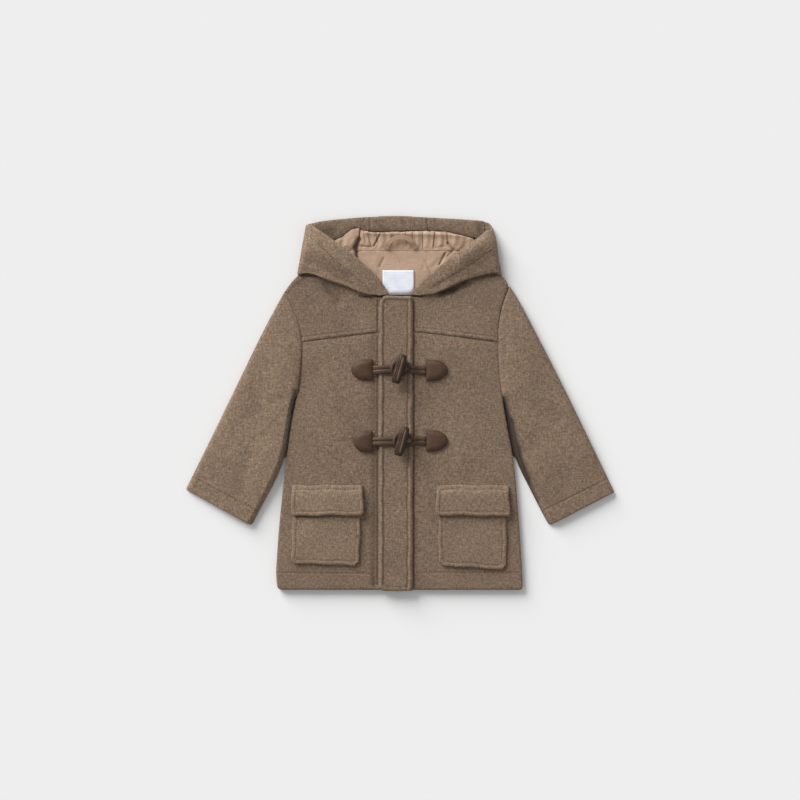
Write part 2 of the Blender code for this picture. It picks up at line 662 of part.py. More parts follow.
def build_placket():
    """The fly strip, over the meeting fronts from the neck to the hem."""
    def place(u, v, w):
        y = mix(PLACKET["bottom"], PLACKET["top"], v)
        inset = corner_inset(PLACKET["top"] - y, PLACKET_CORNER)
        x = mix(PLACKET["left"] + inset, PLACKET["right"] - 0.5 * inset, u)
        low = front_top(x, y) + LIFT
        if w < 0.5:
            return x, y, low
        return x, y, max(placket_top(x, y), low + 0.8)

    width = PLACKET["right"] - PLACKET["left"]
    length = PLACKET["top"] - PLACKET["bottom"]
    columns = lines(width, 2, start=STITCHED_EDGE, end=STITCHED_EDGE)
    rows = lines(length, 15, start=STITCHED_EDGE, end=(0.4, 1.6, 3.4, RIDGE_WIDTH + 1.0))
    slab("placket", columns, rows, place, WOOL)


def four_cornered(side, table, top_y, corner, u, v):
    """A point on a patch with straight sides: u runs outwards and v from its top to its foot."""
    inner_top, outer_top, inner_foot, outer_foot, inner_y, outer_y = table
    inner, outer = mix(inner_top, inner_foot, v), mix(outer_top, outer_foot, v)
    foot_y = mix(inner_y, outer_y, u)
    y = mix(top_y, foot_y, v)
    inset = corner_inset(y - foot_y, corner)
    x = mix(inner + inset, outer - inset, u)
    to_side = min(x - inner, outer - x)
    return side * x, y, min(to_side, y - foot_y), top_y - y


def build_pocket(side, name):
    """A patch pocket with a turned edge round its sides and foot."""
    def place(u, v, w):
        x, y, edge, _ = four_cornered(side, POCKET[side], POCKET_TOP_Y, POCKET_CORNER, u, v)
        low = front_top(x, y) + LIFT
        if w < 0.5:
            return x, y, low
        return x, y, low + PATCH_POCKET_WALL + ridge(edge) - round_off(edge, 2.6, 1.5)

    columns = lines(88.0, 4, start=STITCHED_EDGE, end=STITCHED_EDGE)
    rows = lines(92.0, 4, end=(0.6, 2.0, 5.0, 9.0))
    slab(name, columns, rows, place, WOOL)


def build_flap(side, name):
    """A pocket flap, sewn above the pocket and lying over its mouth."""
    def place(u, v, w):
        x, y, edge, below_top = four_cornered(side, FLAP[side], FLAP_TOP_Y, FLAP_CORNER, u, v)
        step = ease((below_top - FLAP_STEP_START) / (FLAP_STEP_END - FLAP_STEP_START))
        low = front_top(x, y) + LIFT + step * (PATCH_POCKET_WALL + RIDGE_RISE + 0.4)
        if w < 0.5:
            return x, y, low
        edge = min(edge, below_top)
        return x, y, low + FLAP_WALL + ridge(edge) - round_off(edge, 2.6, 1.6)

    columns = lines(92.0, 4, start=STITCHED_EDGE, end=STITCHED_EDGE)
    rows = lines(40.0, 2, start=(1.0, FLAP_STEP_START, 7.0, FLAP_STEP_END), end=(0.6, 2.2, 4.0, 5.6))
    slab(name, columns, rows, place, WOOL)


def build_patch(which, side, name):
    """A domed leather patch, straight where the cord leaves it and round at its far end."""
    inner, outer = PATCH_INNER[which][side], PATCH_OUTER[which][side]
    centre_y = TOGGLES[which][2 if side == RIGHT else 3]
    round_length = outer - inner - PATCH_STRAIGHT

    def arc(angle):
        return (inner + PATCH_STRAIGHT + round_length * math.cos(angle),
                PATCH_HALF_HEIGHT * math.sin(angle))

    def side_edge(u):
        if u < 0.3:
            return inner + PATCH_STRAIGHT * u / 0.3, PATCH_HALF_HEIGHT
        return arc(mix(math.pi / 2.0, PATCH_ARC, (u - 0.3) / 0.7))

    def place(u, v, w):
        level = 2.0 * v - 1.0
        end_x, end_y = arc(PATCH_ARC * level)
        edge_x, edge_y = side_edge(u)
        corner_x, corner_y = arc(PATCH_ARC)
        x = (mix(inner, end_x, u) + edge_x - mix(inner, corner_x, u))
        y = (mix(PATCH_HALF_HEIGHT * level, end_y, u)
             + level * (edge_y - mix(PATCH_HALF_HEIGHT, corner_y, u)))
        low = front_top(side * x, centre_y + y) + LIFT
        if w < 0.5:
            return side * x, centre_y + y, low
        dome = (1.0 - level**4) * (1.0 - u**5) * (0.35 + 0.65 * ease(u / 0.3))
        return side * x, centre_y + y, low + PATCH_RIM + PATCH_DOME * dome

    slab(name, lines(28.0, 5, end=(1.5, 4.0)), lines(28.0, 5, start=(1.5,), end=(1.5,)), place, LEATHER)


def cord_height(x, y):
    """Height of a cord's middle: on the front beside its patch, then over the fly strip."""
    beyond = max(PLACKET["left"] - x, x - PLACKET["right"])
    strip = placket_top(mix(PLACKET["left"], PLACKET["right"], 0.5), y) + RIDGE_RISE
    on_strip = strip + SEAM + CORD_HALF_HEIGHT
    on_front = front_top(x, y) + LIFT + CORD_HALF_HEIGHT + 0.2
    return mix(on_strip, on_front, min(1.0, max(0.0, (beyond + 1.4) / 8.6)))


def rounded_route(corners, per_span):
    """Points on a smooth curve through the corners of a route."""
    table = [(float(k),) + corner for k, corner in enumerate(corners)]
    count = per_span * (len(corners) - 1)
    return [tuple(read(table, k / per_span, axis) for axis in (1, 2, 3)) for k in range(count + 1)]


def oval_section():
    """The section of a flat cord, as a guide for the curves that follow it."""
    curve = bpy.data.curves.new("cord_section", "CURVE")
    curve.dimensions = "2D"
    spline = curve.splines.new("POLY")
    spline.points.add(11)
    spline.use_cyclic_u = True
    for k, point in enumerate(spline.points):
        angle = -2.0 * math.pi * k / 12.0
        point.co = (CORD_HALF_WIDTH * math.cos(angle) * MM, CORD_HALF_HEIGHT * math.sin(angle) * MM,
                    0.0, 1.0)
    section = bpy.data.objects.new("cord_section", curve)
    section.hide_render = True
    section.display_type = "WIRE"
    bpy.data.collections[COAT].objects.link(section)
    return section


def flat_cord(name, points, widths, section):
    """A flat cord through its points, closed at both ends, with its share of the width at each."""
    curve = bpy.data.curves.new(name, "CURVE")
    curve.dimensions = "3D"
    curve.bevel_mode = "OBJECT"
    curve.bevel_object = section
    curve.twist_mode = "Z_UP"
    curve.use_fill_caps = True
    spline = curve.splines.new("POLY")
    spline.points.add(len(points) - 1)
    for point, (x, y, z), width in zip(spline.points, points, widths):
        point.co = (x * MM, y * MM, z * MM, 1.0)
        point.radius = width
    curve.materials.append(finish(name, LEATHER))
    cord = bpy.data.objects.new(name, curve)
    bpy.data.collections[COAT].objects.link(cord)


def build_anchor_cord(which, name, section):
    """The cord on the wearer's right: two strands from the patch, turned back under the toggle."""
    toggle_x, toggle_y, patch_y, _ = TOGGLES[which]
    start_x = -PATCH_INNER[which][RIGHT] + 0.7
    strand = [(start_x, patch_y), (mix(start_x, PLACKET["left"], 0.55), patch_y),
              (PLACKET["left"] + 2.0, mix(patch_y, toggle_y, 0.3)),
              (-12.0, mix(patch_y, toggle_y, 0.8)), (toggle_x - 1.0, toggle_y)]
    out = [(x, y + CORD_SPREAD, cord_height(x, y)) for x, y in strand]
    back = [(x, y - CORD_SPREAD, cord_height(x, y)) for x, y in reversed(strand)]
    turn_x = toggle_x + 1.6
    turn = [(turn_x, toggle_y, cord_height(turn_x, toggle_y))]
    points = rounded_route(out + turn + back, 2)
    widths = [mix(TURN_SHARE, 1.0, ease((toggle_x - 0.5 - x) / 7.0)) for x, _, _ in points]
    flat_cord(name, points, widths, section)


def build_loop_cord(which, name, section):
    """The cord on the wearer's left: a loop round the other cord, behind the toggle."""
    toggle_x, toggle_y, _, patch_y = TOGGLES[which]
    start_x = PATCH_INNER[which][LEFT] - 0.7
    strand = [(start_x, patch_y), (mix(start_x, PLACKET["right"], 0.55), patch_y),
              (max(PLACKET["right"] - 1.0, toggle_x + 17.0), mix(patch_y, toggle_y, 0.4))]
    out = [(x, y + CORD_SPREAD, cord_height(x, y)) for x, y in strand]
    back = [(x, y - CORD_SPREAD, cord_height(x, y)) for x, y in reversed(strand)]
    above = [(toggle_x + past, toggle_y + up, cord_height(toggle_x + past, toggle_y) + lift)
             for past, up, _, lift in CORD_LOOP]
    below = [(toggle_x + past, toggle_y - down, cord_height(toggle_x + past, toggle_y) + lift)
             for past, _, down, lift in reversed(CORD_LOOP)]
    points = rounded_route(out + above + below + back, 2)
    widths = [mix(1.0, LOOP_SHARE, ease((toggle_x + 19.0 - x) / 6.0)) for x, _, _ in points]
    flat_cord(name, points, widths, section)


def build_toggle(which, name):
    """The barrel of a toggle: a ball drawn out along its length, leaning to the wearer's left."""
    x, y, _, _ = TOGGLES[which]
    bm = bmesh.new()
    bmesh.ops.create_uvsphere(bm, u_segments=14, v_segments=12, radius=1.0)
    for vert in bm.verts:
        polar = math.acos(max(-1.0, min(1.0, vert.co.z)))
        share = math.cos(polar) if abs(math.cos(polar)) < 0.99 else math.copysign(1.0, vert.co.z)
        along = math.copysign(min(1.0, abs(share) / 0.965), share)
        radius = TOGGLE_RADIUS * read(TOGGLE_PROFILE, abs(along))
        around = math.atan2(vert.co.y, vert.co.x)
        if math.hypot(vert.co.x, vert.co.y) < 0.01:
            radius = 0.0
        vert.co = (radius * math.cos(around) * MM, along * TOGGLE_HALF_LENGTH * MM,
                   radius * math.sin(around) * MM)
    bmesh.ops.recalc_face_normals(bm, faces=bm.faces[:])
    mesh = bpy.data.meshes.new(name)
    bm.to_mesh(mesh)
    bm.free()
    smooth(mesh, 35.0)
    toggle = new_object(name, mesh, HORN)
    height = cord_height(x, y) + CORD_HALF_HEIGHT + SEAM + 0.3 + TOGGLE_RADIUS
    toggle.location = (x * MM, y * MM, height * MM)
    toggle.rotation_euler = (0.0, 0.0, -TOGGLE_LEAN)


def centre_on_floor():
    """Moves every piece alike, so that the middle of the coat's outline is over the origin."""
    bpy.context.view_layer.update()
    pieces = [piece for piece in bpy.data.collections[COAT].objects if not piece.hide_render]
    low = [1e9, 1e9]
    high = [-1e9, -1e9]
    for piece in pieces:
        for corner in piece.bound_box:
            for axis in (0, 1):
                value = corner[axis] + piece.location[axis]
                low[axis] = min(low[axis], value)
                high[axis] = max(high[axis], value)
    for piece in pieces:
        piece.location.x -= (low[0] + high[0]) / 2.0
        piece.location.y -= (low[1] + high[1]) / 2.0


def main():
    for old in list(bpy.data.objects):
        bpy.data.objects.remove(old)
    bpy.context.scene.collection.children.link(bpy.data.collections.new(COAT))
    build_back()
    for side, word in ((RIGHT, "right"), (LEFT, "left")):
        build_front(side, "front_" + word)
        build_yoke(side, "yoke_" + word)
        build_sleeve(side, "sleeve_" + word)
        build_hood_side(side, "hood_side_" + word)
        build_pocket(side, "pocket_" + word)
        build_flap(side, "flap_" + word)
    build_hood_centre()
    build_hood_facing()
    build_hood_lining()
    build_neck_lining()
    build_neck_label()
    build_hang_loop()
    build_placket()
    section = oval_section()
    for which in TOGGLES:
        for side, word in ((RIGHT, "right"), (LEFT, "left")):
            build_patch(which, side, f"patch_{which}_{word}")
        build_anchor_cord(which, f"cord_{which}_right", section)
        build_loop_cord(which, f"cord_{which}_left", section)
        build_toggle(which, "toggle_" + which)
    centre_on_floor()


main()
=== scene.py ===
"""Looks for a small child's hooded duffle coat, laid flat on its back.

Tables are in millimetres, as in the part's source: x to the wearer's left, y to the hood,
with the fly strip's lower right corner as the one fixed point that ties both together.
"""
import math
from functools import partial

import bmesh
import bpy
import numpy as np
from mathutils import Matrix, Vector
from mathutils.bvhtree import BVHTree


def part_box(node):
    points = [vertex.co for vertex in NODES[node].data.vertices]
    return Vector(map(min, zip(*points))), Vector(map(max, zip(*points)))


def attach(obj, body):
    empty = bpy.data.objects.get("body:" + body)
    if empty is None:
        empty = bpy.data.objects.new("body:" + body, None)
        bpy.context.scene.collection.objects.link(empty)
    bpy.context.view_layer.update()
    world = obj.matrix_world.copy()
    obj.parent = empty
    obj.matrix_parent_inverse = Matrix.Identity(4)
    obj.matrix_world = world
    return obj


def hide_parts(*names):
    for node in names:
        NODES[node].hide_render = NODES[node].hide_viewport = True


bl_info = {
    "name": "Hooded duffle coat",
    "version": (1, 0, 0),
    "blender": (4, 5, 0),
    "location": "3D View > Sidebar > Duffle coat",
    "description": "Builds the cloth, sewing, leather and toggles of a duffle coat on its frame",
    "category": "Object",
}

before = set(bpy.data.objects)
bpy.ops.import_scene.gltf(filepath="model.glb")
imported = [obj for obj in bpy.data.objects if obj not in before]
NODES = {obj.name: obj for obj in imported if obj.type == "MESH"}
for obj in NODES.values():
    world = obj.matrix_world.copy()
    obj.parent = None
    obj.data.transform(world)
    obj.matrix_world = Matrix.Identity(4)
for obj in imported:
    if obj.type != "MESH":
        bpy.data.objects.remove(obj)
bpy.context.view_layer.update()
MM = 0.001
PLACKET_CORNER = (-26.4, -244.8)
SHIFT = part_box("placket")[0].xy / MM - Vector(PLACKET_CORNER)
RIGHT, LEFT = -1, 1
SIDES = (("right", RIGHT), ("left", LEFT))

A, B, MIXED = 6, 7, 2  # a Mix node's sockets for two colours, and for their mixture
BLEND = {"data_type": "RGBA"}
MULTIPLY = {"data_type": "RGBA", "blend_type": "MULTIPLY"}

# Soft folds: start x and y, end x and y, width, rise. A trough has a rise below zero.
BODY_FOLDS = (
    (-96, 60, -80, -60, 26, 0.7), (86, 62, 96, -70, 30, 0.6),
    (-120, 30, -60, -100, 18, -0.5), (60, 10, 130, -60, 20, -0.5),
    (-140, -60, -146, -180, 12, -0.7), (140, -60, 148, -180, 12, -0.6),
)
FRONT_FOLDS = (  # on the fronts and yokes only, beside and below what lies on them
    (-32.5, 84, -32, -236, 4.5, -0.9), (-44, -60, -40, -200, 12, -0.8),
    (-99, 154, -80, 134, 7, -2.6), (-80, 146, -60, 112, 12, -1.9),
    (-92, 128, -68, 104, 9, 1.2), (62, 149, 90, 156, 8, -1.8),
    (-122, 150, -112, 128, 9, -0.9), (60, 128, 110, 118, 12, -0.7),
)
# Narrow creases and seams, with painted shade in them, darker where they are deeper: as a fold, by piece
CREASES = {
    "front_right": ((-28.4, 84, -28.4, -236, 1.1, -1), (-30.6, 84, -30.6, -60, 2.4, -0.4),
        (-31, -60, -32, -236, 4, -0.7)),
    "front_left": ((18.4, 84, 18.4, -238, 0.9, -0.9),),
    # Under the hood's wings, the yokes' creases also paint the wings' shadow
    "yoke_right": ((-28.4, 132, -28.4, 82, 1.1, -1), (-126, 165.5, -108, 163, 2.2, -1.6),
        (-98, 156.5, -78, 152, 2, -0.7), (-74, 149, -58, 144, 1.6, -0.5),
        (-51, 137.6, -37, 136.4, 2, -1.6), (-97, 150, -80, 130, 4.5, -0.7)),
    "yoke_left": ((18.4, 134, 18.4, 82, 0.9, -0.9), (53, 141, 70, 146, 4.6, -2.3),
        (70, 146, 84, 154, 4, -1.5), (84, 155, 96, 160, 3, -0.9), (96, 162, 124, 165, 2, -1.2)),
    # On the sleeves these also paint the body's shadow along their inner edges
    "sleeve_left": ((135.5, 4, 142.5, -27, 4.4, -2.4), (142.5, -27, 150.5, -62, 6.4, -3.2),
        (150.5, -62, 165, -100, 5.2, -2.9), (165, -100, 178, -129, 3.2, -1.8),
        (178, -129, 194, -160, 1.8, -0.8)),
    "sleeve_right": ((-135, 14, -139, -12, 3.4, -1.6), (-139, -12, -150, -72, 2.4, -0.9)),
    "hood_facing": ((-45.3, 244, -44.2, 220, 0.9, -0.5), (-38.3, 244, -37.6, 220, 0.9, -0.5),
        (35.4, 244, 36, 220, 1, -0.8), (46, 244, 46.4, 226, 1.2, -0.4), (-106, 216, -88, 220, 8, -0.8),
        (-24, 224, -16, 222, 4, -0.4)),
    "hood_lining": ((-50.6, 226, -52.6, 211, 1.1, -2), (-52.6, 211, -57, 200.6, 2.6, -3.6),
        (-57, 200.6, -56, 196, 2.4, -3.2), (-52, 203, -36, 201.5, 1, -1.3),
        (-41, 218, -37, 203, 0.8, -1.1), (-46.6, 219, -44, 206, 0.7, -0.8),
        (-33, 203, -25.5, 217.5, 1.2, -1.9), (-30, 219, -28.4, 206, 0.7, -0.9),
        (30.2, 220, 30.4, 198, 0.7, -1.1), (46, 219, 44.2, 202, 1, -1.5),
        (61.6, 220, 62.8, 206, 1.5, -1.5), (62.8, 206, 71, 196.5, 2, -1.3), (44, 200, 62, 203, 0.9, -0.6),
        (-19, 219.5, -12, 221, 0.7, -1), (8, 219, 10, 206, 0.7, -0.9), (17, 219, 17.5, 210, 0.7, -0.8)),
    "neck_lining": ((-56, 196.5, -55.5, 183, 2.4, -2.6), (-26, 176, -21, 187, 1.1, -1.5),
        (59.4, 193.5, 51.8, 179, 1, -2.4), (34, 183, 40, 166, 1.2, -0.7), (70, 197, 62, 189, 1.3, -1.1),
        (-4, 192, 2, 178, 1, -0.4)),
    "pocket_right": ((-140, -147.4, -46, -146.6, 1, -1.3),),
    "pocket_left": ((46, -146.8, 144, -148.2, 1, -1.3),),
    "hood_side_right": ((-134, 232, -100, 214, 1.2, -0.4), (-84, 163, -60, 153, 1.6, -0.8)),
}
SLEEVE_FOLDS = {
    "right": ((-148, -30, -196, -150, 13, -0.4), (-176, 92, -190, -86, 15, -1.1),
        (-150, 70, -160, 0, 12, 0.7), (-206, 20, -236, -70, 14, 0.8), (-152, 4, -196, -20, 7, -0.8),
        (-196, -70, -206, -118, 9, -0.9), (-168, -60, -190, -96, 8, 0.6)),
    "left": ((158, -70, 200, -150, 9, -0.9), (190, 92, 206, -46, 16, -0.9), (160, 80, 170, 10, 12, 0.7),
        (214, 30, 246, -70, 14, 0.7), (160, 0, 200, -24, 7, -0.7), (180, -50, 216, -110, 9, -0.7)),
}
SLEEVE_SLOPES = {"right": -0.05, "left": -0.01}  # fall of the sleeve from its inner to its outer edge
SLEEVE_LEAN, SLEEVE_MIDDLE, SLEEVE_HALF = 0.354, 178, 44  # its middle line, and half its width
CUFF_FALL, CUFF_FALL_FROM, CUFF_FALL_OVER = 3.6, 150, 70  # fall of its end, in mm down the sleeve
# Painted light: how much lighter each piece is painted, most on the side towards the key light; below
# zero, painted shade
PAINTED_LIGHT_BY_PIECE = {
    "sleeve_right": 0.13, "sleeve_left": 0.05, "hood_side_right": 0.24, "hood_side_left": 0.12,
    "pocket_right": 0.12, "flap_right": 0.13, "pocket_left": 0.06, "flap_left": 0.06, "yoke_right": -0.04,
}
HOOD_FOLDS = {
    "right": ((-122, 186, -126, 214, 14, -2.4), (-114, 178, -66, 160, 7, -1.3),
        (-118, 196, -92, 188, 8, 0.8), (-70, 172, -40, 148, 5, 0.8), (-124, 170, -104, 167, 4, -1.2)),
    "left": ((58, 149, 82, 158, 6, 1.2), (118, 188, 84, 172, 8, -0.8), (70, 160, 44, 146, 5, -1),
        (112, 206, 80, 188, 6, 0.6), (124, 176, 100, 166, 6, 0.7)),
}
FACING_FOLDS = ((-80, 236, -60, 226, 6, 0.8),)
LINING_FOLDS = (  # soft rolls of the gathered lining, between its pressed creases
    (-60, 222, -66, 204, 6, 2.6), (-56, 216, -60, 206, 3.4, 1.2),
    (-47, 216, -46, 205, 2.4, 0.9), (-34.5, 218, -35.5, 206, 2, 0.9),
    (-26, 216, -25, 203, 2.6, 0.8), (-12, 218, -13, 200, 2.6, 0.8),
    (3, 217, 2, 203, 2.6, 0.6), (13, 218, 13, 203, 2.4, 0.6),
    (24, 218, 23, 200, 2.6, 0.7), (37.5, 219, 37, 203, 3.4, 1),
    (53, 218, 54, 206, 4, 1.2), (72, 214, 66, 200, 5, 2),
    (80, 210, 76, 200, 5, 1.4), (-44, 220, 84, 217, 3.4, 2.6),
)
NECK_FOLDS = (
    (-64, 196, -60, 184, 5, 0.8), (-32, 186, -30, 172, 4, 0.6),
    (66, 190, 58, 176, 4, 0.9), (44, 176, 52, 186, 2, -0.6),
    (30, 172, 34, 184, 2.4, -0.5), (-5, 190, 20, 191, 4, 0.4),
)

# Sewing
STITCH_PITCH = 3.4
STITCH_INSET = 5.4
YOKE_SEAM_Y, YOKE_SEAM_FALL, YOKE_SEAM_START = 91.6, 0.127, 26
HEM_STITCH_Y = -221
PLACKET_BOX = (-26.4, -244.8, 17.4, 137.7)
# Finer mesh at the hem's stitches, beside the strip, and on the strip from its left and right edge
HEM_CUTS = (-3, -1.2, 0, 1.2, 3)
STRIP_CUTS = {
    "right": (-25.5, -27.2, -28.2, -29.2, -30.6, -33), "left": (16.6, 17.6, 18.3, 19.2, 20.4, 23),
}
INNER_STRIP_CUTS = ((2.6, 5, 6.2, 7.4), (8, 6.8, 5.6, 2.4))
STRIP_ROW_LEFT, STRIP_ROW_RIGHT = 6.2, 6.8  # its rows of stitches, from its edges
STRIP_ROLLS = (  # the strip's rolled edges
    (-23.4, 134, -23.4, -240, 2.2, 0.7), (14.2, 134, 14.2, -240, 2, 0.6),
    (-22, 135, 14, 135, 2.2, 0.5),
)
STRIP_CREASES = (
    (10.6, 130, 10.6, -240, 0.8, -0.3),
    (6.9, 49.5, 6.3, 42, 1.9, -2.6), (8.2, -44, 7.4, -51.5, 1.9, -2.6),  # painted shade in the laces' eyes
)
FLAP = {  # inner and outer x at the top, inner and outer x at the foot, inner and outer foot y
    "right": (47.4, 139.8, 46, 139.8, -146.2, -146.8),
    "left": (47.7, 141.4, 47.4, 143.8, -146.2, -147.6),
}
FLAP_TOP_Y = -107.3
FOOT_CORNERS = {  # radius of the inner and the outer corner
    "flap_right": (4, 2.5), "flap_left": (3.5, 4), "pocket_right": (7.5, 3.5), "pocket_left": (7, 5.5),
}
POCKET = {
    "right": (49.4, 137.6, 52.4, 140.8, -211.8, -208.6),
    "left": (49.7, 138.6, 50.6, 138.8, -212.2, -216.4),
}
POCKET_TOP_Y = -119.5
POCKET_UNDER_FLAP_Y = -141
CUFF_LINES = {"right": ((-269.5, -96.4), (-184, -141)), "left": ((270, -99), (184.6, -141.4))}
HOOD_LINES = {
    "right": ((-119, 217.5), (-83.9, 183.6), (-57, 161), (-40, 148.6)),
    "left": ((123.5, 199), (82.6, 171.9), (58, 157.4), (40.5, 147.4)),
}

# Fastenings
PATCHES = {  # inner x, outer x, centre y
    "upper_right": (-34.2, -62.7, 42), "upper_left": (34.2, 62.8, 41.4),
    "lower_right": (-34.6, -60, -50.8), "lower_left": (34.2, 62.8, -49.8),
}
PATCH_HALF_HEIGHT, PATCH_STRAIGHT = 13.9, 8
TAB_ROWS = ((1.6, 14, 5.8), (1.6, -5.8, -9), (4.6, 9.5, 5.8))  # beige stitches: from the patch, top, foot
PATCH_ROW_INSET = 1.5
PATCH_RIM, PATCH_DOME = 7.5, 1.9  # width of its sloping rim, and rise of its middle
TOGGLES = {"upper": (-0.3, 43), "lower": (3, -50.2)}
TOGGLE_LEAN = math.radians(15)
TOGGLE_STREAK, TOGGLE_GROOVES, TOGGLE_LINE = 1.2, (-2.2, 0.1, 2.6), 0.6  # places across it, half width

# Depths of what sinks into the cloth, and of its painted shade
DEEPEST = -3.2
DARK_AT, DARKEST = 2.6, 0.85  # how deep a crease is where its painted shade is darkest, and how dark that painted shade is
LINING_DARK_AT = 2.4
LINING_LEVEL, LINING_LOWEST = 4.9, 4


def linear(colour):
    """Linear red, green and blue of an sRGB hex colour."""
    parts = [int(colour[k:k + 2], 16) / 255 for k in (1, 3, 5)]
    return tuple(p / 12.92 if p <= 0.04045 else ((p + 0.055) / 1.055)**2.4 for p in parts)


def add_node(tree, kind, inputs=None, settings=None, stops=()):
    """Adds a shader node with its inputs' values or links, its settings and a ramp's colours."""
    node = tree.nodes.new("ShaderNode" + kind)
    for key, value in (settings or {}).items():
        setattr(node, key, value)
    for count, (place, colour) in enumerate(stops):
        elements = node.color_ramp.elements
        stop = elements[count] if count < len(elements) else elements.new(place)
        stop.position, stop.color = place, tuple(colour) + (1.0,)
    for key, value in (inputs or {}).items():
        if isinstance(value, bpy.types.NodeSocket):
            tree.links.new(value, node.inputs[key])
        else:
            node.inputs[key].default_value = value
    return node


def new_material(name, values):
    """A material whose shader has these fixed values, what adds its nodes, and the place on the piece."""
    material = bpy.data.materials.new(name)
    material.use_nodes = True
    tree = material.node_tree
    for key, value in values.items():
        tree.nodes["Principled BSDF"].inputs[key].default_value = value
    add = partial(add_node, tree)
    return material, add, add("TexCoord").outputs["Object"]


def finished(material, colour, relief=None):
    """Joins a material's colour and relief to its shader."""
    tree = material.node_tree
    shader = tree.nodes["Principled BSDF"]
    tree.links.new(colour, shader.inputs["Base Color"])
    if relief:
        tree.links.new(relief.outputs["Normal"], shader.inputs["Normal"])
    return material


def toned(colour, gain=1.0):
    """A colour that is lighter or darker by a factor, with its alpha."""
    return tuple(min(1.0, gain * part) for part in colour) + (1.0,)


def boiled_wool(name, cloth):
    """Melange wool, woven, then boiled, its pile raised with brushes: warm and grey fibres in short
    streaks, no gloss, with painted shade in creases and painted light by piece.
    """
    material, add, place = new_material(name, {
        "Roughness": 0.95, "Specular IOR Level": 0.12, "Sheen Weight": 0.1, "Sheen Roughness": 0.6})
    size = cloth.fibre_size
    # Single fibres are 0.02 mm thick, so they are drawn as tufts three times as long as wide
    across = add("Mapping", {"Vector": place, "Scale": (1.0, 3.0, 1.0)})
    along = add("Mapping", {"Vector": place, "Location": (0.31, 0.17, 0.0), "Scale": (3.0, 1.0, 1.0)})
    weft, warp = [add("TexNoise", {
        "Vector": way.outputs["Vector"], "Scale": 0.34 / size, "Detail": 3.0, "Roughness": 0.65})
        for way in (across, along)]
    tufts = add("Math", {0: weft.outputs["Fac"], 1: warp.outputs["Fac"]}, {"operation": "ADD"})
    melange = add("MapRange", {"Value": tufts.outputs[0], "From Min": 0.62, "From Max": 1.38})
    tones = add("ValToRGB", {"Fac": melange.outputs[0]}, stops=(
        (0.12, cloth.wool_dark), (0.5, cloth.wool_middle), (0.9, cloth.wool_light)))
    warmth = add("TexNoise", {"Vector": place, "Scale": 0.2 / size, "Detail": 3.0, "Roughness": 0.65})
    # These stops are factors for the colour below them, and no colours of their own
    tint = add("ValToRGB", {"Fac": warmth.outputs["Fac"]}, stops=(
        (0.35, (0.97, 0.99, 1.02)), (0.65, (1.03, 1.0, 0.96))))
    tinted = add("Mix", {"Factor": 1.0, A: tones.outputs["Color"], B: tint.outputs["Color"]}, MULTIPLY)
    flecks = add("TexVoronoi", {"Vector": place, "Scale": 0.27 / size})
    fleck_share = add("MapRange", {
        "Value": flecks.outputs["Distance"], "From Min": 0.08, "From Max": 0.24,
        "To Min": 0.36, "To Max": 0.0})
    flecked = add("Mix", {
        "Factor": fleck_share.outputs[0], A: tinted.outputs[MIXED], B: toned(linear("#A8967E"))}, BLEND)
    patchy = add("TexNoise", {"Vector": place, "Scale": 22.0})
    shade = add("MapRange", {
        "Value": patchy.outputs["Fac"], "From Min": 0.3, "From Max": 0.7, "To Min": 0.95, "To Max": 1.05})
    shaded = add("Mix", {"Factor": 1.0, A: flecked.outputs[MIXED], B: shade.outputs[0]}, MULTIPLY)
    # Painted light: the colour times one plus the piece's own factor
    painted_light_share = add("Attribute", settings={"attribute_name": "pile_and_painted_light"})
    gain = add("Math", {0: painted_light_share.outputs["Fac"], 1: 1.0}, {"operation": "ADD"})
    with_painted_light = add("Mix", {"Factor": 1.0, A: shaded.outputs[MIXED], B: gain.outputs[0]}, MULTIPLY)
    # Painted shade: seams and creases are painted darker, the deeper the darker
    painted_shade_node = add("Attribute", settings={"attribute_name": "pressed"})
    final = add("Mix", {
        "Factor": painted_shade_node.outputs["Fac"], A: with_painted_light.outputs[MIXED], B: toned(linear("#2B2018"))}, BLEND)
    low = add("Bump", {"Height": melange.outputs[0], "Strength": 0.22, "Distance": 0.0010})
    pile_and_painted_light = add("TexNoise", {"Vector": place, "Scale": 0.6 / size, "Detail": 3.0, "Roughness": 0.7})
    high = add("Bump", {
        "Height": pile_and_painted_light.outputs["Fac"], "Strength": 0.3, "Distance": 0.0005,
        "Normal": low.outputs["Normal"]})
    return finished(material, final.outputs[MIXED], high)


def lining_cloth(name, base, crease_height, roughness):
    """Polyester lining, woven plain and calendered: smooth, slightly lustrous, with painted shade in its
    pleats.
    """
    material, add, place = new_material(name, {
        "Roughness": roughness, "Specular IOR Level": 0.35, "Sheen Weight": 0.2, "Sheen Roughness": 0.4})
    tone = add("TexNoise", {"Vector": place, "Scale": 60.0, "Detail": 3.0})
    colour = add("Mix", {
        "Factor": tone.outputs["Fac"], A: toned(base, 0.84), B: toned(base, 1.12)}, BLEND)
    # Painted shade in the lining's pleats and creases
    painted_shade_node = add("Attribute", settings={"attribute_name": "pressed"})
    shaded = add("Mix", {
        "Factor": painted_shade_node.outputs["Fac"], A: colour.outputs[MIXED], B: toned(linear("#4E3424"))}, BLEND)
    # Threads lie 0.25 mm apart, and are drawn 0.9 mm apart so that they show
    warp = add("TexWave", {"Vector": place, "Scale": 180.0, "Distortion": 2.0}, {"bands_direction": "X"})
    crease = add("TexNoise", {"Vector": place, "Scale": 110.0, "Detail": 3.0, "Distortion": 0.8})
    weave = add("Bump", {"Height": warp.outputs["Fac"], "Strength": 0.15, "Distance": 0.0002})
    relief = add("Bump", {
        "Height": crease.outputs["Fac"], "Strength": 0.45, "Distance": crease_height,
        "Normal": weave.outputs["Normal"]})
    return finished(material, shaded.outputs[MIXED], relief)


